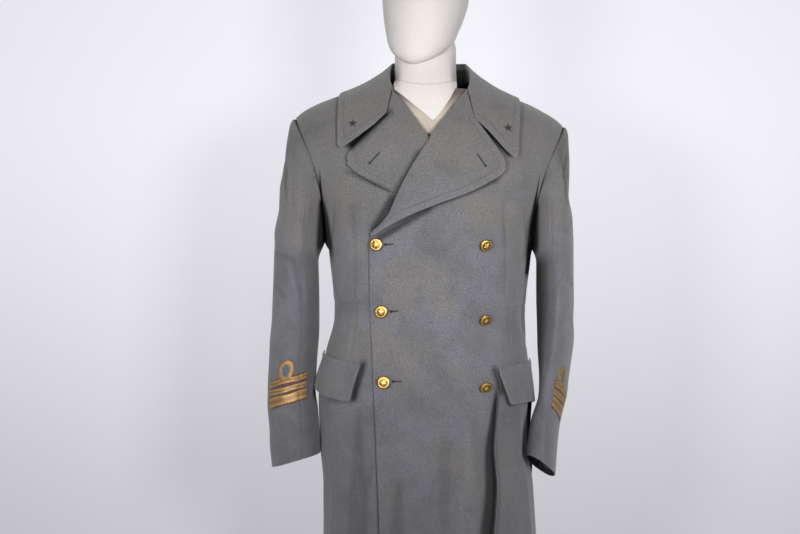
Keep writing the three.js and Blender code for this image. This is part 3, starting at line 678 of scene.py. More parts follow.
def giltBrass():
    # stamped brass with fire gilding: bright on the relief, brown where polish never reaches
    material, tree, at = startMaterial("giltBrass", gilt["grains"], ["relief"])
    dull = (gilt["dull"], at["tarnish"], 0.5, 0.75, 0.0, 0.4)
    base = layered(tree, gilt["deep"], (gilt["bright"], at["relief"], 0.28, 0.85), dull)
    rough = addNode(tree, "MapRange", step(at["tarnish"], 0.3, 0.8, 0.34, 0.5))
    return finishMaterial(material, {"Base Color": base, "Metallic": 1.0, "Roughness": rough})


wire = {
    "deep": "#5f4236",
    "bright": "#b3934f",
    "dull": "#7d5a44",
    "grains": {"wear": (6.25, 4, 0.7), "fine": (1.111, 3, 0.7)},
    "metal": 0.35,
    "rough": 0.5,
}


def wireLace():
    # gilt wire lace: ribs across the band, tarnished and rubbed through to brown in places
    material, tree, at = startMaterial("giltWireLace", wire["grains"], ["relief"])
    base = layered(
        tree,
        wire["deep"],
        (wire["bright"], at["relief"], 0.1, 0.9),
        (wire["dull"], at["wear"], 0.42, 0.66, 0.0, 0.75),
        (wire["deep"], at["fine"], 0.5, 0.75, 0.0, 0.55),
    )
    inputs = {"Base Color": base, "Metallic": wire["metal"], "Roughness": wire["rough"]}
    return finishMaterial(material, inputs)


steel = {"dark": "#9a9b9d", "pale": "#b4b5b6", "grains": {"marks": (5.556, 5, 0.6)}, "stretch": (1, 1, 12)}


def satinSteel():
    # satin steel: fine turning marks round it give a soft streaked gloss
    material, tree, at = startMaterial("satinSteel", steel["grains"], stretch=steel["stretch"])
    rough = addNode(tree, "MapRange", step(at["marks"], 0.3, 0.7, 0.28, 0.42))
    base = layered(tree, steel["dark"], (steel["pale"], at["marks"]))
    return finishMaterial(material, {"Base Color": base, "Roughness": rough, "Metallic": 1.0})


twist = {"pale": "#4c4c50", "dark": "#29292c", "hole": "#030304", "grains": {"ply": (0.7143, 3, 0.7)}}


def buttonholeTwist():
    # grey buttonhole twist: a corded edge round the opening, whose shade is painted near black
    material, tree, at = startMaterial("buttonholeTwist", twist["grains"], ["shade"])
    base = layered(tree, twist["pale"], (twist["dark"], at["ply"]), (twist["hole"], at["shade"]))
    return finishMaterial(material, {"Base Color": base, "Roughness": 0.8})


# the material of each slot, and three more: two that share a slot, and one for the kept CAD nodes
finishes = {
    "wool": woolCloth(),
    "lining_black": plainCloth("liningTwill"),
    "form_linen": plainCloth("formLinen"),
    "form_cover": plainCloth("creamJersey"),
    "gilt": giltBrass(),
    "lace_gold": wireLace(),
    "lace_ground": plainCloth("wornFelt"),
    "star_thread": plainCloth("blackenedThread"),
    "twist": buttonholeTwist(),
    "loopFill": plainCloth("blueGreyFelt"),
    "steel": satinSteel(),
}
print("materials made")

# rows are those of the skirt and of the chest above it; flats are the whole cuts in metres
panel = {
    "frontColumns": 132,
    "frontRows": (170, 80),
    "frontFlat": (0.42, 1.17),
    "backColumns": 80,
    "backRows": (122, 57),
    "backFlat": (0.3, 1.16),
    "sideShare": 0.22,
}


def eased(share):
    # the height share of a yoke row: rows lie closer where the shoulder turns over
    low = panel["sideShare"]
    q = np.clip((share - low) / (1 - low), 0, 1)
    return np.where(share < low, share, low + (1 - low) * (1 - (1 - q) ** 1.8))


def panelHeight(h, topZ):
    # the height of a row at the inner edge: the hem at -1, the break at 0, the top at 1
    up = lerp(coatEnds["break"], topZ, eased(np.maximum(h, 0)))
    return np.where(h < 0, lerp(coatEnds["break"], coatEnds["hem"], -h), up)


def sideLine(side, h):
    # the side seam up to the armpit, then the armhole seam; h is -1 at the hem, 0 at the break
    lowZ = armhole["armpit"] - side * armhole["drop"]
    past = (h - panel["sideShare"]) / (1 - panel["sideShare"])
    seam = lerp(coatEnds["break"], lowZ, h / panel["sideShare"])
    seam = np.where(h < 0, lerp(coatEnds["break"], coatEnds["hem"], -h), seam)
    z, turn = armholeAt(side, (1 - np.cos(np.pi * np.clip(past, 0, 1))) / 2)
    return np.where(past < 0, seam, z), np.where(past < 0, side * np.pi / 2, turn)


def between(inner, outer, u):
    # the turn runs evenly from one edge to the other, and the height slides with the X
    turn = lerp(inner[1], outer[1], u)
    slide = (np.sin(turn) - np.sin(inner[1])) / (np.sin(outer[1]) - np.sin(inner[1]))
    return lerp(inner[0], outer[0], slide), turn


def followed(u, h, line):
    # slides the columns of a row so that the middle one lies on the deep fold
    z = lerp(coatEnds["break"], coatEnds["hem"], np.clip(-h, 0, 1))
    start = np.degrees(line(h)[1])
    target = (along(pleatRows, "angle", z) - start) / (90 - start)
    return u + (lerp(0.5, target, smooth(-h * 6)) - 0.5) * np.sin(np.pi * u)


def panelPoints(face, side, innerLine, crown, us, rows, rise):
    # rows from the inner edge to the side, lifted near the top so the last follows the crown
    skirt = spaced(rows[0], (0.865, 0.012, 3)) - 1
    chest = np.linspace(0, 1, rows[1] + 1)[1:]
    u, h = np.meshgrid(us, np.concatenate([skirt, chest]))
    if face < 0 < side:
        u = followed(u, h, innerLine)
    top = np.ones_like(h)
    z, turn = between(innerLine(h), sideLine(side, h), u)
    topZ, topTurn = between(innerLine(top), sideLine(side, top), u)
    topX = shoulder["mid"] + halfAt(1500.0) * np.sin(topTurn)
    z = z + np.where(h > 0, eased(np.maximum(h, 0)) ** 2 * (crown(topX) - topZ), 0)
    x = along(bodyRows, "mid", z) + halfAt(z) * np.sin(turn)
    return bodyPoint(face, turn, z, cloth + rise(x, z)), h[:, 0]


# painted shade where shadow falls on the cloth: beside the collar, the lapels and the flaps, and under the
# arms;
# the side is -1 or 1 for a front panel and 2 for the left back
darkLines = table(
    "side x1 z1 x2 z2 wide much taper",
    (-1, -80, 1446, -150, 1384, 10, 1, 0.6),
    (-1, -197, 1330, -193, 1184, 11, 1, 0.2),
    (1, 186, 1326, 174, 1186, 11, 1, 0.1),
    (1, 70, 1440, 140, 1372, 8, 1, 0.6),
    (-1, -24, 1376, -68, 1300, 7, 0.6, 1),
    (-1, -68, 1300, -106, 1236, 9, 0.75, 1),
    (-1, -144, 1344, -68, 1308, 4, 0.45, 1),
    (1, -92, 1230, 4, 1287, 7, 0.7, 1),
    (1, 4, 1287, 120, 1334, 5, 0.5, 1),
    (-1, -120, 1012, -138, 946, 6, 0.8, 1),
    (1, 106, 1004, 122, 956, 6, 0.7, 1),
    (2, 178, 1000, 178, 790, 11, 1, 1),
    (2, 178, 1230, 176, 1160, 11, 1, 1),
)
# painted shadow beside the overlap's edge: how dark, and how it widens and darkens downwards from a height
edgeShadow = {
    "much": 0.85,
    "least": 0.3,
    "off": 3,
    "wide": (2.5, 6),
    "widen": (1000, 500),
    "darken": (1100, 400),
    "top": 1225,
}
pleatShadow = {"outer": 0.8, "deepest": 0.98, "flank": 1.25, "past": 1.5, "fullDeep": 18}
pit = {"much": 0.9, "reach": 9, "low": 1176, "high": 1350, "fade": (40, 30)}


def gapShade(grid, side):
    # 1 along the middle of each dark line and 0 outside it
    total = np.zeros(grid.shape[:2])
    for row in darkLines:
        if row["side"] != side:
            continue
        start, end = np.array([row["x1"], row["z1"]]), np.array([row["x2"], row["z2"]])
        run = end - start
        at = grid[..., [0, 2]] - start
        t = (at @ run) / (run @ run)
        wide = row["wide"] * lerp(row["taper"], 1, smooth(t * 1.6))
        off = (at[..., 0] * run[1] - at[..., 1] * run[0]) / np.hypot(*run) / wide
        line = row["much"] * np.exp(-(np.abs(off) ** 3)) * smooth(6 * (1.04 - t)) * smooth(4 * (t + 0.2))
        total = np.maximum(total, line)
    return total


def heldAt(z, row):
    # 1 between a low and a high height, fading to 0 at each of them
    return smooth((z - row["low"]) / row["fade"][0]) * smooth((row["high"] - z) / row["fade"][1])


def pitShade(grid):
    # painted shade on the cloth that the sleeve covers, under the arm
    x, z = grid[..., 0], grid[..., 2]
    out = np.abs(x - shoulder["mid"]) - halfAt(z)
    return pit["much"] * smooth((out + pit["reach"]) / 8) * heldAt(z, pit)


def foldShade(side, grid):
    # painted shade: beside the overlap's edge on the right front, in the deep fold on the left
    x, z = grid[..., 0], grid[..., 2]
    if side < 0:
        shares = [smooth((start - z) / over) for start, over in (edgeShadow["widen"], edgeShadow["darken"])]
        off = (x - edgeAt(1, z) + edgeShadow["off"]) / lerp(*edgeShadow["wide"], shares[0])
        much = edgeShadow["much"] * lerp(edgeShadow["least"], 1, shares[1])
        return much * bell(off) * smooth((edgeShadow["top"] - z) / 20)
    past = (np.degrees(turnAt(x, z)) - along(pleatRows, "angle", z)) * mmPerDegree["pleat"]
    flank = smooth((pleatShadow["flank"] + past / along(pleatRows, "wide", z)) / 0.5)
    flank = flank * smooth((pleatShadow["past"] - past) / 2.5)
    much = lerp(pleatShadow["outer"], pleatShadow["deepest"], smooth(1 + past / 9))
    return much * flank * smooth(along(pleatRows, "deep", z) / pleatShadow["fullDeep"])


def reliefDepth(face, grid):
    # how far the folds and creases stand out (above 0) or sink in at each point of a panel
    x, z = grid[..., 0], grid[..., 2]
    turn = np.degrees(turnAt(x, z))
    angle = turn if face < 0 else np.sign(turn) * 180 - turn
    return creaseDepth(bodyCreases, angle, z, mmPerDegree["body"]) + foldDepth(face, x, z)


def woolPanel(name, grid, flip, edges, depth, shades):
    # a hanging panel: its nap is worn pale at the free edges, by their nearness, and its ridges get a
    # painted highlight, by their height; painted shade darkens it in the shaded places and the hollows, by
    # their depth
    ridge, high = wool["ridge"]
    paleWearAndRidgeLight = np.maximum(np.exp(-edgeAway(grid, edges) / wool["rubWide"]), ridge * smooth(depth / high))
    hollow = wool["hollow"] * smooth(-depth / wool["hollowDeep"])
    values = {"edgeWearAndRidgeLight": paleWearAndRidgeLight, "shade": np.max([*shades, hollow], 0)}
    piece = clothShell(name, grid, cloth, "wool", flip=flip, values=values)


def frontPanel(name, side, rise):
    # a front from its free edge, which runs on up the roll line to the neck, out to the side
    neckX = shoulder["mid"] + side * neckOpening["half"]

    def innerLine(h):
        # the free edge, eased over to the neck point at the top
        z = panelHeight(h, shoulderLine(neckX))
        rolled = edgeAt(side, z) + side * 3.5 * smooth(h * 9)
        return z, turnAt(lerp(rolled, neckX, smooth((h - 0.94) / 0.06)), z)

    us = spaced(panel["frontColumns"], (0.0, 0.012, 4), (1.0, 0.01, 3), (0.5, 0.06, 1.2), (0.5, 0.012, 5))
    grid, h = panelPoints(-1, side, innerLine, shoulderLine, us, panel["frontRows"], rise)
    shades = [gapShade(grid, side), pitShade(grid), foldShade(side, grid)]
    edges = [grid[h <= 0.02, 0], grid[0]]
    woolPanel(name, grid, side < 0, edges, reliefDepth(-1, grid), shades)


def backPanel(name, side):
    # a back from the centre seam out to the side, its top hollowed for the neck
    def innerLine(h):
        # the centre back seam
        z = panelHeight(h, neckOpening["backZ"])
        return z, turnAt(along(bodyRows, "mid", z) + side * seamGap / 2, z)

    neckZ = shoulderLine(shoulder["mid"] + side * neckOpening["half"])

    def crown(x):
        # the shoulder line, and a parabola across the back of the neck
        share = np.abs(x - shoulder["mid"]) / neckOpening["half"]
        return np.where(share > 1, shoulderLine(x), lerp(neckOpening["backZ"], neckZ, share * share))

    us = spaced(panel["backColumns"], (0.0, 0.012, 3), (1.0, 0.01, 3))
    grid, h = panelPoints(1, side, innerLine, crown, us, panel["backRows"], lambda x, z: 0 * x)
    shades = [pitShade(grid), gapShade(grid, 2 * side)]
    woolPanel(name, grid, side > 0, [grid[0]], reliefDepth(1, grid), shades)


frontPanel("front_right", -1, underLevel)
frontPanel("front_left", 1, overLevel)
backPanel("back_right", -1)
backPanel("back_left", 1)
print("coat body made")

# rings of each sleeve from the cuff up: where they lie, half their width across and from front to
# back, how far the outer side drops and the front rises, and how far the ring leans
sleeveRows = {
    -1: table(
        "z x y across through drop rise skew",
        (838, -241, -32, 43, 54, 12.5, 3, 0),
        (875, -244, -27, 45, 56, 9, 2, 0),
        (920, -246.5, -18, 44, 59, 4, 1, 0),
        (964, -249.5, -11, 41, 61, 1, 0, 0),
        (1010, -247.5, -6, 41, 65, 0, 0, 0),
        (1074, -244, -1, 42, 71, 0, 0, 0),
        (1205, -243.5, 4, 40, 77, 0, 0, 0),
        (1284, -235, 5, 35, 76, 0, 0, 0),
    ),
    1: table(
        "z x y across through drop rise skew",
        (832, 190, -72, 25, 57, 14, 19, 10),
        (900, 200, -49, 24, 61, 8, 7, 14),
        (953, 214, -29, 21.5, 66, 3, 2, 17),
        (1045, 220, -9, 30, 72, 0, 0, 7),
        (1131, 222, 0, 33, 76, 0, 0, 0),
        (1216, 222, 4, 33.5, 78, 0, 0, 0),
        (1278, 221, 5, 32.5, 77, 0, 0, 0),
    ),
}
# creases of each sleeve by the turn in degrees: 0 on the outer side, 90 in front
sleeveCreases = {
    -1: table(
        "a1 z1 a2 z2 deep wide lean",
        (46, 1388, 62, 1302, 4, 6, 0.3),
        (30, 1376, 42, 1270, 3.5, 6, -0.3),
        (38, 1360, 50, 1290, -3.5, 6, 0),
        (30, 1400, 40, 1290, -3, 22, 0),
        (30, 1209, 96, 1190, -4.5, 6, 0.3),
        (26, 1226, 90, 1210, 2.5, 9, 0),
        (92, 1200, 118, 1116, -5, 7, 0.3),
        (80, 1190, 104, 1110, 3, 9, 0),
        (100, 1260, 112, 1200, 5, 8, 0),
        (30, 1150, 80, 1120, -4, 9, 0),
        (20, 1080, 70, 1052, 3, 11, 0),
        (60, 1096, 110, 1060, -3.5, 8, 0),
        (60, 1330, 84, 1250, -3, 9, 0),
        (40, 930, 60, 850, -2.5, 9, 0),
        (112.5, 1280, 112.5, 820, -0.7, 4, 0),
        (-30, 1190, -110, 1170, -4, 8, 0),
        (-40, 1120, -110, 1140, -3, 9, 0),
        (-60, 1360, -80, 1280, 3, 9, 0),
        (-150, 1200, -200, 1180, -4, 8, 0),
        (30, 1010, 100, 990, 1.6, 12, 0),
        (0, 1345, 0, 1225, 5, 60, 0),
        (0, 1430, 0, 1360, -3, 60, 0),
        (0, 1080, 0, 900, 3.5, 60, 0),
    ),
    1: table(
        "a1 z1 a2 z2 deep wide lean",
        (70, 1392, 40, 1330, -4.5, 6, 0),
        (38, 1385, 66, 1334, -4, 6, 0),
        (52, 1366, 50, 1284, 4.5, 6, 0),
        (68, 1356, 80, 1290, 4, 6, 0),
        (40, 1420, 50, 1290, -3, 22, 0),
        (84, 1250, 92, 1170, 3.5, 8, 0.3),
        (94, 1164, 92, 996, 5.5, 10, 0.4),
        (106, 1172, 95, 1146, -2.5, 8, 0),
        (80, 1180, 94, 1150, -2.5, 8, 0),
        (70, 1160, 30, 1148, -4, 8, 0),
        (82, 930, 78, 828, 4, 7, 0),
        (100, 940, 104, 840, -3, 7, 0),
        (60, 1090, 20, 1074, -3.5, 9, 0),
        (112.5, 1270, 112.5, 820, -0.7, 4, 0),
        (-30, 1186, -110, 1168, -4, 8, 0),
        (-40, 1116, -110, 1134, -3, 9, 0),
        (-60, 1356, -80, 1280, 3, 9, 0),
        (-150, 1190, -200, 1170, -4, 8, 0),
        (40, 1260, 84, 1236, -2, 9, 0),
        (0, 1425, 0, 1280, -7.5, 55, 0),
        (0, 1080, 0, 930, 4.5, 55, 0),
    ),
}
sleeve = {
    "upperColumns": 90,
    "underColumns": 44,
    "capRows": 52,
    "armRows": 116,
    "slit": 0.004,
    "seams": (-112.5, 112.5, 247.5),
    "innerShade": {1: 0.85, -1: 0.35},
    "upperFlat": (0.27, 0.64),
    "underFlat": (0.16, 0.52),
}
# the full cloth of the inner side, under the arm, and the cap that swells out of its seam
underarm = {"turn": 208, "wide": 30, "low": 1188, "high": 1335, "fade": (45, 40), "deep": 16}
cap = {"swell": 1.6, "at": 0.14, "wide": 0.09, "sunk": 2.2, "sunkFront": 6, "seam": 0.045}
# shade of the armhole's seam, of the underarm, and of the inner side from an angle on
armShade = {
    "seam": 0.95,
    "under": 0.9,
    "half": 62,
    "low": 1180,
    "high": 1345,
    "fade": (40, 30),
    "inner": (75, 85),
}


def ringPoint(side, turn, height, level):
    # a leaning ellipse whose outer side drops and whose front rises
    read = lambda key: along(sleeveRows[side], key, height)
    out, ahead = np.cos(turn), np.sin(turn)
    x = read("x") + side * ((read("across") + level - cloth) * out - read("skew") * ahead)
    y = read("y") - (read("through") + level - cloth) * ahead
    return np.stack([x, y, height - read("drop") * out + read("rise") * ahead], -1)


def capPoint(side, turn, t, level):
    # a Hermite curve from the armhole seam to the sleeve's top ring
    z, bodyTurn = armholeAt(side, (1 + np.cos(turn)) / 2)
    under = smooth(-1.3 * np.cos(turn))
    starts = [bodyPoint(face, bodyTurn, z, level * (1 - under), creased=False) for face in (-1, 1)]
    start = np.where((np.sin(turn) > 1e-9)[..., None], *starts)
    radial = np.stack([0 * turn, -np.sin(turn), np.cos(turn)], -1)
    start = start + radial * (level * under)[..., None]
    start[..., 0] += side * (seamGap + 0.1 + cloth * under)
    end = ringPoint(side, turn, sleeveRows[side][-1]["z"] + 0 * turn, level)
    reach = np.linalg.norm(start - end, axis=-1)[..., None]
    leave = np.stack([side + 0 * turn, 0 * turn, -0.15 - 0.1 * np.cos(turn)], -1) * 0.4 * reach
    arrive = np.stack([0 * turn, 0 * turn, -0.9 + 0 * turn], -1) * reach
    return curved(start, end, leave, arrive, np.asarray(t)[..., None])


def sleeveSwell(side, degrees, z):
    # the creases and the ripple of a sleeve, by the turn in degrees and the height
    creases = creaseDepth(sleeveCreases[side], degrees, z, mmPerDegree["sleeve"])
    return creases + 0.8 * ripple(degrees * mmPerDegree["sleeveRipple"], z)


def fromUnderarm(degrees):
    # degrees round the sleeve from the middle of its underarm, -180 to 180
    return (degrees - underarm["turn"] + 180) % 360 - 180


def sleevePoint(side, turn, row, level):
    # row runs from 0 at the armhole to 1 at the top ring and 2 at the cuff; the level adds the
    # creases, a swell below the cap's seam, the dip at the seam and the fullness under the arm
    height = lerp(sleeveRows[side][-1]["z"], sleeveRows[side][0]["z"], np.clip(row - 1, 0, 1))

    def place(level):
        # the cap above the top ring, and the rings below it
        capped = capPoint(side, turn, np.clip(row, 0, 1), level)
        return np.where((row < 1)[..., None], capped, ringPoint(side, turn, height, level))

    degrees, z = np.degrees(turn), place(0 * turn)[..., 2]
    level = level + sleeveSwell(side, degrees, z) * smooth(row * 3)
    outward = np.clip(np.cos(turn) + 0.4, 0, 1)
    ahead = smooth(1.4 * np.sin(turn))
    level = level + cap["swell"] * bell((row - cap["at"]) / cap["wide"]) * outward
    level = level - (cap["sunk"] + cap["sunkFront"] * ahead) * bell(row / (0.05 + 0.06 * ahead)) * outward
    full = underarm["deep"] * bell(fromUnderarm(degrees) / underarm["wide"])
    return place(level + full * heldAt(z, underarm))


def sleeveShade(side, turn, row, z):
    # painted shade: along the armhole seam in front, under the arm, and on the inner side that lies against
    # the body
    degrees = np.degrees(turn)
    seam = armShade["seam"] * bell(row / cap["seam"]) * smooth(2 * np.sin(turn) + 0.6)
    held = heldAt(z, armShade)
    under = armShade["under"] * smooth((armShade["half"] - np.abs(fromUnderarm(degrees))) / 20) * held
    start, over = armShade["inner"]
    inner = sleeve["innerShade"][side] * smooth((degrees - start) / over) * (1 - held)
    return np.max([seam, under, inner], 0)


def sleevePiece(name, side, low, high, columns):
    # the upper or under sleeve between its two seams, where the cloth dips a little
    turns = np.radians(np.linspace(low, high, columns + 1))
    turns[0] += sleeve["slit"]
    turns[-1] -= sleeve["slit"]
    rows = [np.linspace(0, 1, sleeve["capRows"] + 1), np.linspace(1, 2, sleeve["armRows"] + 1)[1:]]
    turn, row = np.meshgrid(turns, np.concatenate(rows))
    fromSeam = np.minimum(turn - turns[0], turns[-1] - turn) * 50
    grid = sleevePoint(side, turn, row, cloth - 0.6 * bell(fromSeam / 2.0))
    z = grid[..., 2]
    depth = creaseDepth(sleeveCreases[side], np.degrees(turn), z, mmPerDegree["sleeve"])
    woolPanel(name, grid, side < 0, [grid[-1]], depth, [sleeveShade(side, turn, row, z)])


def cuffLining(name, side):
    # the lining's lowest part, a ring inside the cuff
    turns = np.linspace(0, 2 * np.pi, 73)[:-1]
    turn, row = np.meshgrid(turns, np.linspace(1.98, 1.72, 18))
    grid = sleevePoint(side, turn, row, -1.0 + 0 * turn)
    piece = clothShell(name, grid, 1.2, "lining_black", closed=True, flip=side > 0)


for label, side in (("right", -1), ("left", 1)):
    start, middle, end = sleeve["seams"]
    upper = f"sleeve_upper_{label}"
    sleevePiece(upper, side, start, middle, sleeve["upperColumns"])
    sleevePiece(f"sleeve_under_{label}", side, middle, end, sleeve["underColumns"])
    cuffLining(f"cuff_lining_{label}", side)
print("sleeves made")

# the inner corner between collar and lapel: its X and degrees forward, and its share out from the fold
notch = {"x": 75, "tip": 62, "at": 0.35}
lapelShapes = {
    1: {"tipX": 130, "tipZ": 1351, "notchX": 71, "notchZ": 1438, "hollow": 8, "bow": (7, -5)},
    -1: {"tipX": -154, "tipZ": 1363, "notchX": -77, "notchZ": 1448, "hollow": 9, "bow": (-2, -9)},
}
lapelMesh = {"columns": 70, "rows": 92, "facing": 8, "roll": 10, "facingShare": 0.22, "rollDepth": 0.85}
# the whole cut in metres and the share of it that is cloth, then how far each layer stands off
lapelFit = {
    "flat": (0.16, 0.28),
    "cut": 0.68,
    "under": 0.6,
    "break": 2.0,
    "left": 2.4,
    "right": 3.8,
    "full": 4.5,
    "inside": 8,
    "over": 40,
}


def roundedCorner(u, v, startU, startV, power):
    # draws the corner of the unit square in to a superellipse
    p = np.clip((u - startU) / (1 - startU), 0, 1)
    q = np.clip((v - startV) / (1 - startV), 0, 1)
    scale = np.maximum(p, q) / np.maximum((p**power + q**power) ** (1 / power), 1e-9)
    scale = np.where((p > 0) & (q > 0), scale, 1)
    u = np.where(u > startU, startU + (1 - startU) * p * scale, u)
    return u, np.where(v > startV, startV + (1 - startV) * q * scale, v)


def notchTent(u):
    # rises straight from the roll (0) to the notch and falls straight to the corner (1)
    return np.where(u < notch["at"], u / notch["at"], (1 - u) / (1 - notch["at"]))


def lapelPlace(side, u, v):
    # the X and Z of a lapel by its share out from the roll line and up from the break
    shape = lapelShapes[side]
    low, top = coatEnds["break"], coatEnds["gorge"]
    bow = lerp(*shape["bow"], smooth(v * 1.4 - 0.2)) * np.sin(np.pi * v)
    bend = notchTent(u) * v**4
    rollZ = lerp(low, top, v)
    x = lerp(edgeAt(side, rollZ), lerp(edgeAt(side, low), shape["tipX"], v), u)
    z = lerp(rollZ, lerp(low, shape["tipZ"], v) + bow, u)
    x = x + bend * (shape["notchX"] - lerp(edgeAt(side, top), shape["tipX"], notch["at"]))
    return x, z + bend * (shape["notchZ"] - lerp(top, shape["tipZ"], notch["at"]))


def lapelRise(side, x, z, u, v):
    # how far the lapel stands off: fullest along the roll and towards the free edge
    hollow = lapelShapes[side]["hollow"] * smooth(u * 1.6) * smooth(v * 5)
    if side > 0:
        full = lapelFit["full"] * np.sin(np.pi * v) ** 0.8
        return overLevel(x, z) + cloth + lapelFit["left"] + full + hollow
    return lapelFit["right"] + hollow * smooth((edgeAt(1, z) - lapelFit["inside"] - x) / lapelFit["over"])


def lapelPoint(side, u, v, level):
    # a point of the lapel's outer side
    x, z = lapelPlace(side, u, v)
    return frontPlace(x, z, level + lapelRise(side, x, z, u, v))


def rolled(below, above, beyond, count, depth):
    # a half ring from one layer to the other, bulging past the fold
    middle, half = (below + above) / 2, (below - above) / 2
    bulge = unit(beyond) * np.linalg.norm(half, axis=-1, keepdims=True) * depth
    return [middle + half * np.cos(a) + bulge * np.sin(a) for a in np.linspace(0, np.pi, count + 2)[1:-1]]


def lapel(side, label):
    # the lapel from its free edge to the roll, round it, and a strip of facing down inside
    vs = spaced(lapelMesh["rows"], (1.0, 0.05, 2), (0.0, 0.05, 1)) * 0.965 + 0.02
    us = spaced(lapelMesh["columns"], (1.0, 0.04, 2), (0.0, 0.04, 1))
    top = lapelPoint(side, *roundedCorner(*np.meshgrid(us, vs), 0.84, 0.8, 3), cloth)
    shrink = smooth(vs * 6)
    inside = []
    for share in np.linspace(lapelMesh["facingShare"], 0, lapelMesh["facing"] + 1):
        x, z = lapelPlace(side, share + 0 * vs, vs)
        under = overLevel(x, z) if side > 0 else underLevel(x, z)
        drop = (lapelFit["under"] + cloth) * shrink - lapelFit["break"] * (1 - shrink)
        inside.append(frontPlace(x, z, under - drop))
    arcs = rolled(inside[-1], top[:, 0], top[:, 0] - top[:, 3], lapelMesh["roll"], lapelMesh["rollDepth"])
    grid = np.concatenate([np.stack(inside + arcs, 1), top], 1)
    away = edgeAway(grid, [top[:, -1], top[-1, us > notch["at"]]])
    grid, values = stitched(grid, away, 0.4, side < 0)
    if side < 0:
        # painted shade of the dark lines on the under lapel's outer side, beside the over lapel's roll and
        # under the collar
        values["shade"] = gapShade(grid, side) * (gridNormals(grid)[..., 1] > 0)
    piece = clothShell(f"lapel_{label}", grid, cloth, "wool", flip=side < 0, values=values)


lapel(1, "left")
lapel(-1, "right")
print("lapels made")

# the collar by the share q from the middle of the back to its end: the X of its fold, outer edge and
# neck seam, and the degrees that each lies forward (above 0) or back of the shoulder line
collarRows = table(
    "q foldX foldTip foldOff edgeX edgeTip seamX seamTip",
    (0, 0, -31, 43, 0, -68, 0, -44),
    (0.35, 46, -24, 36, 88, -52, 46, -32),
    (0.6, 67, -7, 26, 140, -22, 72, -8),
    (0.8, 72, 15, 13, 158, 10, 76, 12),
    (0.9, 70.5, 27, 9, 160, 36, 70, 26),
    (1, 65.2, 38, 7.5, 158, 68, 64, 38),
)
collarEdgeOff = {"back": 3.2, "front": 11}
collarTip = {1: {"x": -13, "tip": 10}, -1: {"x": -4, "tip": 5.4}}
collarRise = 3  # how much higher the fold stands on the wearer's left
collarMesh = {"columns": 196, "stand": 7, "roll": 10, "fall": 54, "standGap": 2.8, "rollDepth": 0.9}
neckBand = {"reach": 0.745, "from": 0.02, "to": 0.9, "inside": 2.6}


def foldOff(q):
    # how far the fold stands off the yoke, more on the wearer's left
    more = collarRise * smooth(q / 0.3) * smooth((0.95 - q) / 0.3)
    return along(collarRows, "foldOff", np.abs(q), "q") + more


def fallPoint(q, u, level):
    # the collar's fall from its fold (0) to its outer edge (1); q runs from the middle of the back
    # (0) to the ends (-1 and 1), which bend at the notch and are drawn to a tip at the corner
    reach = np.abs(q)
    row = lambda key: along(collarRows, key, reach, "q")
    bend = notchTent(u) * smooth((reach - 0.82) / 0.18)
    corner = smooth((reach - 0.8) / 0.2) * smooth((u - notch["at"]) / (1 - notch["at"]))
    end = collarRows[-1]
    places = []
    for fold, edge, key in (("foldX", "edgeX", "x"), ("foldTip", "edgeTip", "tip")):
        flat = lerp(row(fold), row(edge), u)
        flat = flat + bend * (notch[key] - lerp(end[fold], end[edge], notch["at"]))
        places.append(flat + corner * np.where(q > 0, collarTip[1][key], collarTip[-1][key]))
    edgeOff = lerp(collarEdgeOff["back"], collarEdgeOff["front"], smooth((reach - 0.74) / 0.24))
    off = lerp(edgeOff, foldOff(q), (1 - u) ** 1.5)
    wave = 0.8 * np.sin(q * 9 + 1) * smooth(u * 2)
    return yokePoint(shoulder["mid"] + np.sign(q) * places[0], places[1], off + level + wave)


def standPoint(q, u, level):
    # the collar's stand from the neck seam (0) up to the fold (1)
    row = lambda key: along(collarRows, key, np.abs(q), "q")
    x, tip = lerp(row("seamX"), row("foldX"), u), lerp(row("seamTip"), row("foldTip"), u)
    off = lerp(cloth + 0.4, foldOff(q) - collarMesh["standGap"], u)
    return yokePoint(shoulder["mid"] + np.sign(q) * x, tip, off + level)


def collar():
    # stand, roll and fall in one cloth, stitched round its free edge
    qs = 2 * spaced(collarMesh["columns"], (0.0, 0.03, 3), (1.0, 0.03, 3)) - 1
    qs = np.where(np.abs(qs) < 1e-6, 1e-6, qs)
    us = spaced(collarMesh["fall"], (1.0, 0.04, 1.5))
    q, u = np.meshgrid(qs, us, indexing="ij")
    reach, u = roundedCorner(np.abs(q), u, 0.982, 0.92, 3)
    fall = fallPoint(np.sign(q) * reach, u, cloth + 0 * q)
    q, u = np.meshgrid(qs, np.linspace(0, 1, collarMesh["stand"] + 1), indexing="ij")
    stand = standPoint(q, u, 0 * q)
    beyond = fall[:, 0] - fall[:, 3]
    arcs = rolled(stand[:, -1], fall[:, 0], beyond, collarMesh["roll"], collarMesh["rollDepth"])
    grid = np.concatenate([stand, np.stack(arcs, 1), fall], 1)
    away = edgeAway(grid, [fall[:, -1], fall[0, us > notch["at"]], fall[-1, us > notch["at"]]])
    grid, values = stitched(grid, away, 0.5, True)
    both = ["collar_fall", "collar_stand"]
    piece = clothShell("collar_fall", grid, cloth, "wool", replaced=both, flip=True, values=values)


def neckLining():
    # a band of lining inside the stand at the back of the neck
    across = np.linspace(-neckBand["reach"], neckBand["reach"], 90)
    q, u = np.meshgrid(across, np.linspace(neckBand["from"], neckBand["to"], 12))
    piece = clothShell("neck_lining", standPoint(q, u, -neckBand["inside"] + 0 * q), 1.2, "lining_black")


collar()
neckLining()
print("collar made")

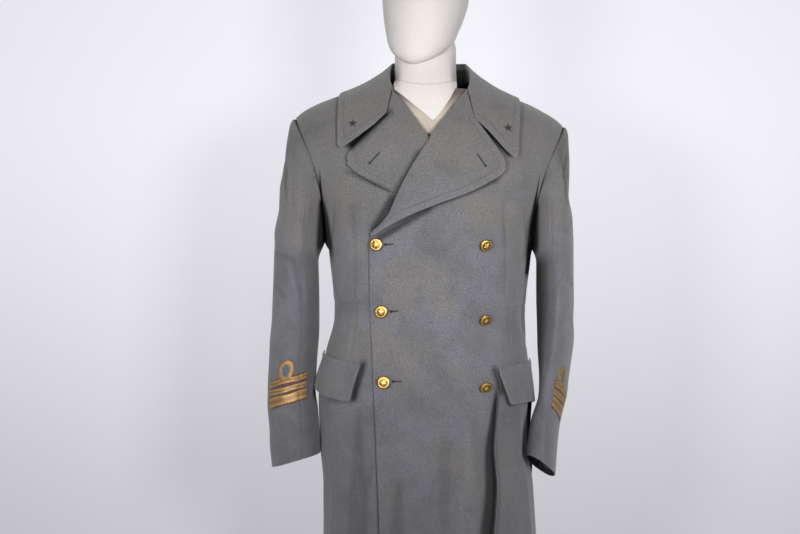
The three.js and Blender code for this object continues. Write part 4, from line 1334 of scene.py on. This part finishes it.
# angles from the middle of the front, at the flap's inner and outer end; off and curl are how far
# its lower edge and its two corners stand off
flapShapes = {
    "pocket_flap_right": {
        "topAngles": (-38, -93),
        "topZ": (1012, 1030),
        "lowAngles": (-37.6, -95),
        "lowZ": (949, 974),
        "off": (9, 3),
        "curl": (12, 1),
        "sag": 2,
    },
    "pocket_flap_left": {
        "topAngles": (40.4, 90),
        "topZ": (1006, 1016),
        "lowAngles": (44.6, 99),
        "lowZ": (943, 935),
        "off": (10, 5),
        "curl": (10, 3),
        "sag": -5,
    },
}
flap = {"columns": 58, "rows": 40, "gap": 1.6, "belly": 5, "ridge": 1.4}


def pocketFlap(name, shape):
    # a four-sided flap with rounded corners, lifted towards its lower edge and its corners
    left = name.endswith("left")
    a, b = np.meshgrid(np.linspace(0, 1, flap["columns"] + 1), np.linspace(0, 1, flap["rows"] + 1))
    a, b = roundedCorner(a, b, 0.9, 0.88, 4)
    a, b = roundedCorner(1 - a, b, 0.9, 0.88, 4)
    a = 1 - a
    angle = np.radians(lerp(lerp(*shape["topAngles"], a), lerp(*shape["lowAngles"], a), b))
    z = lerp(lerp(*shape["topZ"], a), lerp(*shape["lowZ"], a), b) - shape["sag"] * np.sin(np.pi * a) * b
    off = lerp(*shape["off"], a) * b + flap["belly"] * b * a * (1 - a)
    off = off + shape["curl"][0] * (1 - a) ** 3 * b + shape["curl"][1] * a**3 * b
    off = off + flap["ridge"] * bell((b - 0.07) / 0.08)
    under = overLevel(aroundPoint(angle, z, 0.0)[..., 0], z) if left else 0
    grid = aroundPoint(angle, z, flap["gap"] + 2 * cloth + off + under)
    away = edgeAway(grid, [grid[-1], grid[:, 0], grid[:, -1]])
    values = {"edgeWearAndRidgeLight": np.exp(-away / wool["rubWide"])}
    piece = clothShell(name, grid, cloth, "wool", flip=left, values=values)


for name, shape in flapShapes.items():
    pocketFlap(name, shape)
print("pocket flaps made")

button = {
    "radius": 11.2,
    "seat": 5.4,
    "rim": 1.6,
    "dome": 2.6,
    "rings": 44,
    "spokes": 96,
    "back": ((11.2, 6.4), (10.6, 5.8), (8, 5.5), (2.2, 5.4), (2, 5.2)),
    "shank": 2,
    "star": (6.2, 2.7),
    "starHigh": (0.25, 0.4),
    "ropeAt": 8.9,
    "ropeWide": 0.8,
    "ropeHigh": 0.45,
    "ropeTurns": 30,
    "pebble": 0.07,
}
buttonRows = table(
    "name x z droop swing foot spin",
    ("button_right_top", -91, 1219, 0, 0, 1.3, 8),
    ("button_right_middle", -84.5, 1103.5, 4, 0, 0.3, -12),
    ("button_right_bottom", -81, 982, 8, 0, 0.7, 20),
    ("button_left_top", 83, 1219, 22, 8, 2.8, -30),
    ("button_left_middle", 84, 1091, 34, 14, 1.4, 5),
    ("button_left_bottom", 83.5, 976, 38, 8, 2.7, -18),
)


def starEdge(angle, reach, inner):
    # the outline of a five-pointed star: a straight line from each tip to the notch beside it
    half = np.pi / 5
    turn = np.abs((angle + half) % (2 * half) - half)
    rise = inner * np.sin(half)
    return reach * rise / (rise * np.cos(turn) + (reach - inner * np.cos(half)) * np.sin(turn))


def discPoints(here, right, upward, out, r, angle, h):
    # a point by its distance and angle round a middle, and its height over it
    return (
        here
        + (r * np.cos(angle))[..., None] * right
        + (r * np.sin(angle))[..., None] * upward
        + h[..., None] * out
    )


def buttonPiece(row):
    # a dome over a rolled rim, with a rope ring, a plain star and a pebbled ground on its face
    droop, swing = np.radians(row["droop"]), np.radians(row["swing"])
    x, z = np.array(row["x"], float), np.array(row["z"], float)
    level = overLevel(x, z) + cloth + seamGap + button["radius"] * np.sin(droop) * 0.5
    here = frontPlace(x, z, level)
    across = unit(frontPlace(x + 1, z, level) - here)
    out = unit(np.cross(across, frontPlace(x, z + 1, level) - here))
    facing = unit(out + np.array([np.sin(swing), 0, -np.tan(droop)]))
    right = unit(across - facing * (across @ facing))
    face = np.linspace(0, button["radius"], button["rings"])
    share = face / button["radius"]
    dome = button["seat"] + button["rim"] + (button["dome"] - 0.6) * (1 - share**2.4)
    dome = dome - 1.1 * smooth((share - 0.93) / 0.07)
    back = np.array([*button["back"], (button["shank"], -row["foot"]), (0, -row["foot"])])
    angles = np.linspace(0, 2 * np.pi, button["spokes"] + 1)[:-1]
    r, angle = np.meshgrid(np.concatenate([face, back[:, 0]]), angles, indexing="ij")
    onFace = np.arange(len(r))[:, None] < len(face)
    edge = starEdge(angle, *button["star"])
    ridge = 1 - np.clip(r / np.maximum(edge, 1e-6), 0, 1) ** 2
    star = smooth((edge - r) / 0.5)
    strand = 0.7 + 0.3 * np.sin(angle * button["ropeTurns"] + r * 3)
    rope = strand * bell((r - button["ropeAt"]) / button["ropeWide"])
    pebble = np.sin(r * 5.2) * np.sin(angle * np.round(r * 3)) * smooth(8 - r) * (1 - star)
    flat, high = button["starHigh"]
    relief = button["ropeHigh"] * rope + star * (flat + high * ridge) + button["pebble"] * pebble
    h = np.concatenate([dome, back[:, 1]])[:, None] + np.where(onFace, relief, 0)
    spin = np.radians(row["spin"] + 90)
    grid = discPoints(here, right, np.cross(facing, right), facing, r, angle + spin, h)
    shine = np.where(onFace, np.clip(0.4 + relief * 1.4, 0, 1), 0.4)
    roundPiece(row["name"], grid, "gilt", {"relief": shine})


for row in buttonRows:
    buttonPiece(row)
print("buttons made")

hole = {"along": 44, "across": 12, "half": 0.7, "edge": 0.9, "thick": 0.3, "sunk": 0.25}
eyelet = {"at": 2.2, "wide": 1.7, "more": 1.6}
buttonholes = {
    "buttonhole_top": ((-80, 1218.5), (-64, 1219)),
    "buttonhole_middle": ((-72.5, 1103), (-57, 1104)),
    "buttonhole_bottom": ((-69, 983), (-52, 983.5)),
}
lapelSlits = {
    "lapel_slit_right": (-1, (-111, 1357), (-91, 1378)),
    "lapel_slit_left": (1, (91.8, 1351.8), (75.2, 1376.4)),
}


def threadMark(name, start, end, surface):
    # a worked slit: two ridges of twist round an opening, painted dark as its shade, that widens to an
    # eyelet at its start
    start, end = np.array(start, float), np.array(end, float)
    length = np.hypot(*(end - start))
    ahead = (end - start) / length
    aside = np.array([-ahead[1], ahead[0]])
    run, off = np.meshgrid(spaced(hole["along"], (0.1, 0.06, 3)), np.linspace(-1, 1, hole["across"] + 1))
    half = hole["half"] + eyelet["more"] * bell((run * length - eyelet["at"]) / eyelet["wide"])
    ends = np.sqrt(np.clip(1 - (2 * run - 1) ** 8, 0, 1))
    wide = (half + hole["edge"]) * (0.15 + 0.85 * ends)
    place = start + (run * length)[..., None] * ahead + (off * wide)[..., None] * aside
    # painted shade of the opening, darkest along the middle of the slit
    dark = smooth((half / (half + hole["edge"]) - np.abs(off)) / 0.18) * ends
    ridge = 0.15 + 0.5 * np.sin(np.pi * np.clip(np.abs(off) * 1.3 - 0.3, 0, 1)) * (1 - dark)
    grid = surface(place[..., 0], place[..., 1], ridge)
    thread = finishes["twist"]
    clothShell(name, grid, hole["thick"], "wool", replaced=[], material=thread, values={"shade": dark})


def lapelSurface(side):
    # the lapel's outer face at any X and Z, from the nearest points of its own grid
    u, v = np.meshgrid(np.linspace(0.2, 1, 160), np.linspace(0.5, 0.98, 160))
    known = lapelPoint(side, u, v, cloth).reshape(-1, 3)

    def place(x, z, up):
        # the mean depth of the six nearest points, each weighted by its nearness
        gap = np.hypot(known[:, 0] - x.reshape(-1, 1), known[:, 2] - z.reshape(-1, 1))
        near = np.argsort(gap, 1)[:, :6]
        weight = 1 / (np.take_along_axis(gap, near, 1) + 0.2)
        y = (known[near, 1] * weight).sum(1) / weight.sum(1)
        return np.stack([x, y.reshape(x.shape) - hole["sunk"] - up, z], -1)

    return place


for name, (start, end) in buttonholes.items():
    threadMark(name, start, end, lambda x, z, up: frontPlace(x, z, overLevel(x, z) + cloth + up))
for name, (side, start, end) in lapelSlits.items():
    threadMark(name, start, end, lapelSurface(side))
print("buttonholes made")

# where each sleeve's lace is centred, how far it runs to both sides and how much it climbs
laces = {
    "right": {"side": -1, "turn": 78, "z": 968, "slope": 0.24, "wide": (-36, 40), "sign": 1},
    "left": {"side": 1, "turn": 38.5, "z": 957, "slope": -0.4, "wide": (-20, 35), "sign": -1},
}
laceBars = {"top": (8, 16), "middle": (-7, 1), "broad": (-27, -12)}
laceLoop = {"in": (7, 10), "out": (14.5, 18), "z": 30, "from": -88, "to": 268, "base": 1.5, "ribs": 26}
rib = {"every": 2.6, "high": 0.35}


def lacePlace(lace, across, upward, level):
    # walks round the sleeve by the distance across, in ten steps, then reads the sleeve there
    side, rows = lace["side"], sleeveRows[lace["side"]]
    z = lace["z"] + upward
    turn = np.radians(lace["turn"]) + 0 * across
    for _ in range(10):
        wide = along(rows, "across", z) * np.sin(turn) + along(rows, "skew", z) * np.cos(turn)
        deep = along(rows, "through", z) * np.cos(turn)
        turn = turn + lace["sign"] * across / 10 / np.hypot(wide, deep)
    height = z + lace["slope"] * across
    return ringPoint(side, turn, height, cloth + level + sleeveSwell(side, np.degrees(turn), height))


def laceBand(name, lace, wide, tall, base, count, slot, material=None):
    # a flat band 1 mm thick; gilt lace has ribs across its length and stands higher at its edges
    across, upward = np.meshgrid(np.linspace(*wide, count[0]), np.linspace(*tall, count[1]))
    wobble = 0.5 * np.sin(across / 7 + tall[0])
    wave = 0.5 + 0.5 * np.sin(across * 2 * np.pi / rib["every"] + 0.8 * np.sin(upward * 1.7))
    edge = np.abs(2 * (upward - tall[0]) / (tall[1] - tall[0]) - 1) ** 1.3
    high = (0.2 + 0.6 * edge + 0.2 * wave) if slot == "lace_gold" else 0 * wave
    grid = lacePlace(lace, across, upward + wobble, base + 1 + rib["high"] * high)
    piece = clothShell(name, grid, 1.0, slot, material=material, values={"relief": high})


def laceSet(label, lace):
    # felt ground, three bars, the fill of the loop and the loop, a ribbed band bent to a ring
    wide, on = lace["wide"], [f"sleeve_upper_{label}"]
    ground = f"lace_ground_{label}"
    laceBand(ground, lace, wide, (-30, 19), 0.2, (50, 24), "lace_ground")
    for name, tall in laceBars.items():
        laceBand(f"lace_{name}_{label}", lace, wide, tall, 1.1, (140, 8), "lace_gold")
    fill, felt = f"lace_loop_fill_{label}", finishes["loopFill"]
    laceBand(fill, lace, (-7, 7), (20, 40), 0.5, (16, 20), "lace_ground", felt)
    turns = np.radians(np.linspace(laceLoop["from"], laceLoop["to"], 130))
    arch, out = np.meshgrid(turns, np.linspace(0, 1, 9))
    wave = 0.5 + 0.5 * np.sin(arch * laceLoop["ribs"] + 0.8 * np.sin(out * 9))
    sizes = [lerp(near, far, out) for near, far in zip(laceLoop["in"], laceLoop["out"])]
    across, upward = sizes[0] * np.cos(arch), laceLoop["z"] + sizes[1] * np.sin(arch)
    crown = 0.8 * np.sin(np.pi * out) + 1.3 * smooth((20 - upward) / 4)
    grid = lacePlace(lace, across, upward, laceLoop["base"] + crown + rib["high"] * wave)
    piece = clothShell(f"lace_loop_{label}", grid, 1.0, "lace_gold", flip=True, values={"relief": wave})


for label, lace in laces.items():
    laceSet(label, lace)
print("lace made")

star = {
    "reach": 8.6,
    "inner": 3.9,
    "shares": (0, 0.2, 0.4, 0.6, 0.8, 0.95, 1, 1, 0.5, 0),
    "heights": (1.5, 1.45, 1.3, 1.15, 0.95, 0.75, 0.5, 0, 0, 0),
    "thread": 0.12,
}
starPlaces = {"right": (-1, -138.7, 1429.3), "left": (1, 130.5, 1421.3)}


def collarStar(label, side, x, z):
    # a five-pointed star of thread on the fall, highest in the middle, at the nearest grid point
    q, u = np.meshgrid(side * np.linspace(0.8, 1, 90), np.linspace(0.3, 1, 90))
    fall = fallPoint(q, u, cloth + 0.2)
    j, i = np.unravel_index(np.argmin(np.hypot(fall[..., 0] - x, fall[..., 2] - z)), q.shape)
    here = fall[j, i]
    out = unit(np.cross(fall[j + 3, i] - here, fall[j, i - 3] - here))
    out = -out * np.sign(out[1])
    right = unit(np.cross(out, [0, 0, 1.0]))
    right = right * np.sign(right[0])
    upward = np.cross(right, out)
    upward = upward * np.sign(upward[2])
    angles = np.linspace(0, 2 * np.pi, 121)[:-1]
    r = np.array(star["shares"])[:, None] * starEdge(angles, star["reach"], star["inner"])
    heights = np.array(star["heights"])[:, None]
    h = heights + star["thread"] * np.sin(r * 5) * (heights > 0.6)
    grid = discPoints(here, right, upward, out, r, angles + np.pi / 2, h)
    roundPiece(f"collar_star_{label}", grid, "star_thread")


for label, (side, x, z) in starPlaces.items():
    collarStar(label, side, x, z)
print("collar stars made")

torsoGaps = table("z gap", (955, 24), (1090, 11), (1190, 15), (1296, 9), (1400, 4), (1520, 2))
torso = {"low": 955, "armpit": 1280, "top": 1497, "side": 3, "around": 110}
# how much further in the chest lies below a height, and how dark the painted shadow of the coat's collar
# lies on the form above another
chestIn = {"deep": 11, "from": 1455, "over": 60}
formCollarShadow = {"much": 0.85, "from": 1448, "over": 44}
neckRows = table(
    "z x y wide deep",
    (1495.9, -9, 4, 62, 62),
    (1506, -10, 3, 57.5, 58),
    (1522, -10.8, 1, 55.7, 56),
    (1541, -11, -2, 55, 57),
)
headRows = table(
    "z x y wide deep",
    (1537, -30, -38, 22, 30),
    (1540.6, -27, -34, 38, 44),
    (1551.5, -23, -28, 51, 60),
    (1568.5, -19, -22, 60, 71),
    (1590, -17, -15, 65, 81),
    (1605, -15.5, -11, 68.5, 87),
    (1631, -13, -5, 73.5, 95),
    (1658, -10.8, -1, 77.6, 99),
    (1690, -10.5, 1, 78.5, 100),
    (1725, -10.5, 3, 73, 94),
    (1762, -10.5, 5, 58, 75),
    (1788, -10.5, 6, 37, 48),
    (1801, -10.5, 6, 13, 17),
)
jaw = {"lift": 36, "turn": -0.05, "high": 1650}
welt = {"turn": -0.16, "wide": 0.012, "high": 0.5}
# the neck cover's V, its flare, its top under the head, its throat, how far it lies off the chest,
# the middle of its rim, the rim's oval behind, and where it starts to lie on the chest
bib = {
    "tipX": 0,
    "tipZ": 1436.5,
    "topZ": 1498,
    "flareZ": 1522,
    "high": 1612,
    "throat": (1556, 1462),
    "off": 1.6,
    "midX": -9,
    "rimY": 4,
    "rimDeep": 62,
    "laidZ": 1521,
    "laidOver": 24,
}
neckTaper = {"much": 0.25, "from": 1570, "over": 45}
bibEnds = {1: {"reach": 43, "power": 1.35, "wide": 54}, -1: {"reach": 72, "power": 1.0, "wide": 62}}
neckSeam = {"z": 1500, "x": -9, "rise": 5, "over": 35, "wide": 0.9, "much": 0.35}


def ringStack(name, rings, slot, tint=None):
    # a closed body of rings, with each end drawn in to its middle
    rings = np.stack(rings)
    first, last = rings[:1], rings[-1:]
    low = [lerp(first.mean(1, keepdims=True), first, share) for share in (0, 0.5, 0.9)]
    high = [lerp(last.mean(1, keepdims=True), last, share) for share in (0.9, 0.5, 0)]
    grid = np.concatenate([*low, rings, *high])
    roundPiece(name, grid, slot, {"seam": tint(grid)} if tint else None)


def torsoGap(z):
    # how far the form's chest lies inside the coat's, more below the neck
    return along(torsoGaps, "gap", z) + chestIn["deep"] * smooth((chestIn["from"] - z) / chestIn["over"])


def torsoSurface(x, z, level):
    # a point of the form's chest
    return bodyPoint(-1, turnAt(x, z), z, level - torsoGap(z), creased=False)


def torsoPiece():
    # the body map taken in by a gap, up to the crown under the shoulders
    angle = np.linspace(0, 2 * np.pi, torso["around"] + 1)[:-1]
    across = np.cos(angle)
    front = (np.sin(angle) > -1e-9)[:, None]

    def ring(turn, z, frontGap, backGap):
        # the front's half from one face of the body map and the back's from the other
        ahead = bodyPoint(-1, turn, z, -frontGap, creased=False)
        return np.where(front, ahead, bodyPoint(1, turn, z, -backGap, creased=False))

    rings = []
    for z in np.linspace(torso["low"], torso["armpit"], 40):
        gap = along(torsoGaps, "gap", z)
        rings.append(ring(np.arcsin(across), z + 0 * across, gap, gap))
    for v in 1 - (1 - np.linspace(0, 1, 40)) ** 1.8:
        topX = shoulder["mid"] + (armhole["tip"] - torso["side"]) * across
        z = lerp(armhole["armpit"], np.minimum(shoulderLine(topX) - 1.6, torso["top"]), v)
        wide = lerp(armhole["waist"], armhole["tip"], v**1.4) - torso["side"]
        turn = np.arcsin(wide * across / halfAt(z))
        rings.append(ring(turn, z, torsoGap(z), along(torsoGaps, "gap", z)))
        rings[-1][:, 1] *= np.sqrt(1 - across**12)
    # painted shadow of the coat's collar on the form's linen, carried by its seam value
    collarShadow = lambda grid: formCollarShadow["much"] * smooth((grid[..., 2] - formCollarShadow["from"]) / formCollarShadow["over"])
    ringStack("form_torso", rings, "form_linen", collarShadow)


def neckPiece():
    # the neck cover: straight at the throat, flaring on to the torso and cut to a V in front
    angle = np.linspace(0, 2 * np.pi, 121)[:-1]
    ahead = np.cos(angle)
    rings = []
    for z in np.linspace(bib["high"], bib["flareZ"], 30):
        x, y, wide, deep = [along(neckRows, key, z) for key in ("x", "y", "wide", "deep")]
        narrow = 1 - neckTaper["much"] * smooth((z - neckTaper["from"]) / neckTaper["over"])
        oval = [x + wide * narrow * np.sin(angle), y - deep * narrow * ahead, z + 0 * angle]
        rings.append(np.stack(oval, -1))
    last = rings[-1]
    half = lambda key, here: np.where(here > 0, bibEnds[1][key], bibEnds[-1][key])
    x = bib["midX"] + half("wide", np.sin(angle)) * np.sin(angle)
    off = x - bib["tipX"]
    away = np.clip(np.abs(off) / half("reach", off), 0, 1)
    vee = lerp(bib["tipZ"], bib["topZ"], away ** half("power", off))
    endZ = np.where(ahead > 0, vee, bib["topZ"])
    behind = np.stack([x, bib["rimY"] - bib["rimDeep"] * ahead, endZ], -1)
    end = lerp(behind, torsoSurface(x, endZ, bib["off"]), smooth(ahead * 3)[:, None])
    reach = np.linalg.norm(end - last, axis=-1, keepdims=True)
    leave = np.array([0, 0, -1.0]) * reach
    arrive = unit(np.stack([0 * x, -0.4 * ahead.clip(0, 1), -0.9 + 0 * x], -1)) * reach
    for t in np.linspace(0, 1, 40)[1:]:
        ring = curved(last, end, leave, arrive, t)
        cover = np.minimum(ring[:, 1], torsoSurface(ring[:, 0], ring[:, 2], bib["off"])[:, 1])
        share = smooth(ahead * 4) * smooth((bib["laidZ"] - ring[:, 2]) / bib["laidOver"]) * (ahead > 0)
        ring[:, 1] = lerp(ring[:, 1], cover, share)
        rings.append(ring)
    grid = np.stack(rings)
    # the throat falls along a straight line in front, so the cloth spans the hollow
    high, low = bib["throat"]
    down = np.clip((high - grid[..., 2]) / (high - low), 0, 1)
    start = grid[np.abs(grid[:, 0, 2] - high).argmin(), :, 1]
    onTorso = torsoSurface(grid[..., 0], low + 0 * down, bib["off"])[..., 1]
    straight = np.minimum(grid[..., 1], lerp(start, onTorso, (down + smooth(down)) / 2))
    grid[..., 1] = lerp(grid[..., 1], straight, smooth((ahead - 0.25) / 0.4) * (down > 0))
    arch = ((grid[..., 0] - neckSeam["x"]) / neckSeam["over"]) ** 2
    off = grid[..., 2] - neckSeam["z"] - neckSeam["rise"] * arch
    values = {"seam": neckSeam["much"] * bell(off / neckSeam["wide"]) * (ahead > 0.2)}
    piece = clothShell("form_neck", grid, 1.4, "form_cover", closed=True, flip=True, values=values)


def headPiece():
    # an egg of stacked ovals with a welted seam down the front, a little to the wearer's right
    angle = np.linspace(0, 2 * np.pi, 131)[:-1]
    rings = []
    low, top = headRows[0]["z"], headRows[-1]["z"]
    seam = welt["high"] * bell(((angle + np.pi) % (2 * np.pi) - np.pi - welt["turn"]) / welt["wide"])
    for z in lerp(low, top, spaced(76, (0.0, 0.05, 2), (1.0, 0.05, 3))):
        x, y, wide, deep = [along(headRows, key, z) for key in ("x", "y", "wide", "deep")]
        lifted = (1 - smooth((z - low) / (jaw["high"] - low))) * (1 - np.cos(angle - jaw["turn"])) / 2
        x, y = x + (wide + seam) * np.sin(angle), y - (deep + seam) * np.cos(angle)
        rings.append(np.stack([x, y, z + jaw["lift"] * lifted], -1))
    ringStack("form_head", rings, "form_cover")


torsoPiece()
neckPiece()
headPiece()
for name in ("stand_base", "stand_pole"):
    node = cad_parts[name]
    node.data.materials.clear()
    node.data.materials.append(finishes["steel"])
print("display form made")

studio = {
    "wallY": 0.8,
    "wallHex": "#8f8f94",
    "glowHex": "#f0f0f6",
    "glow": (0.41, 0.74),
    "glowZ": (0.4, 1.6),
    "bend": 0.25,
    "reach": 30,
    "wallHigh": 4.5,
    "cameraPlace": (-0.0567, -2.9, 1.18),
    "lens": 72.5,
    "sensor": 36,
    "skyHex": "#e6e6f2",
    "sky": 0.14,
    "beyondHex": "#b0b0b5",
}
lamps = {"keyLight": ((0.66, -2.4, 1.4), 6.6), "fillLight": ((-1.0, -2.4, 1.4), 5.4)}  # place, watts
beam = {"aim": (0.1, 0, 1.2), "size": (0.45, 0.45), "spread": 62, "tint": (1.0, 0.985, 0.97)}


def studioPaper():
    # matt paper with a soft glow that grows upwards; it is seen from its front only, so a view
    # from behind looks past it
    material, tree, at = startMaterial("studioPaper", {})
    height = addNode(tree, "SeparateXYZ", {"Vector": at["place"]}, "Z")
    glow = addNode(tree, "MapRange", step(height, *studio["glowZ"], *studio["glow"]))
    paper = tree.nodes["Principled BSDF"].outputs[0]
    back = addNode(tree, "NewGeometry", {}, "Backfacing")
    shown = addNode(tree, "MixShader", {0: back, 1: paper, 2: addNode(tree, "BsdfTransparent")})
    fillNode(tree, tree.nodes["Material Output"], {"Surface": shown})
    tone = {"Base Color": colour(studio["wallHex"]), "Roughness": 0.9}
    light = {"Emission Color": colour(studio["glowHex"]), "Emission Strength": glow}
    return finishMaterial(material, {**tone, **light})


def backdrop():
    # the floor turns up into a wall through a quarter circle, and more floor lies beyond the wall
    material = studioPaper()
    bend, wall, far = studio["bend"], studio["wallY"], studio["reach"]
    turn = np.linspace(0, np.pi / 2, 24)
    curveY, curveZ = wall - bend + bend * np.sin(turn), bend - bend * np.cos(turn)
    strips = {
        "backdrop": (np.array([-far, *curveY, wall]), np.array([0, *curveZ, studio["wallHigh"]])),
        "floorBeyond": (np.array([wall - bend, far]), np.array([-0.001, -0.001])),
    }
    for name, (y, z) in strips.items():
        x = np.array([[-far, far]])
        grid = np.stack(np.broadcast_arrays(x, y[:, None], z[:, None]), -1)
        faces = gridFaces(len(y), 2, False)
        mesh = bpy.data.meshes.new(name)
        mesh.from_pydata(grid.reshape(-1, 3).tolist(), [], faces.tolist())
        mesh.polygons.foreach_set("use_smooth", np.ones(len(faces), bool))
        mesh.materials.append(material)
        paper = bpy.data.objects.new(name, mesh)
        bpy.context.scene.collection.objects.link(paper)


def areaLight(name, place, watts):
    # a soft box with a grid, so that its light fades away from the middle of its beam
    light = bpy.data.lights.new(name, "AREA")
    light.shape = "RECTANGLE"
    light.size, light.size_y = beam["size"]
    light.spread = np.radians(beam["spread"])
    light.energy = watts
    light.color = beam["tint"]
    lamp = bpy.data.objects.new(name, light)
    direction = Vector(beam["aim"]) - Vector(place)
    lamp.rotation_euler = direction.to_track_quat("-Z", "Y").to_euler()
    lamp.location = place
    bpy.context.scene.collection.objects.link(lamp)


def sky():
    # a weak pale light from all round, and a paler tone where the camera sees past the paper
    world = bpy.data.worlds.new("studio")
    world.use_nodes = True
    tree = world.node_tree
    around = tree.nodes["Background"]
    fillNode(tree, around, {"Color": colour(studio["skyHex"]), "Strength": studio["sky"]})
    seen = addNode(tree, "Background", {"Color": colour(studio["beyondHex"]), "Strength": 1.0})
    direct = addNode(tree, "LightPath", {}, "Is Camera Ray")
    both = addNode(tree, "MixShader", {0: direct, 1: around.outputs[0], 2: seen})
    fillNode(tree, tree.nodes["World Output"], {"Surface": both})
    bpy.context.scene.world = world


def camera():
    # level, at chest height, looking straight along +Y
    data = bpy.data.cameras.new("camera")
    data.lens, data.sensor_width = studio["lens"], studio["sensor"]
    made = bpy.data.objects.new("camera", data)
    made.location = studio["cameraPlace"]
    made.rotation_euler = (np.pi / 2, 0, 0)
    bpy.context.scene.collection.objects.link(made)
    bpy.context.scene.camera = made


backdrop()
for name, (place, watts) in lamps.items():
    areaLight(name, place, watts)
sky()
camera()
bpy.context.scene.view_settings.view_transform = "Standard"
print("studio made")
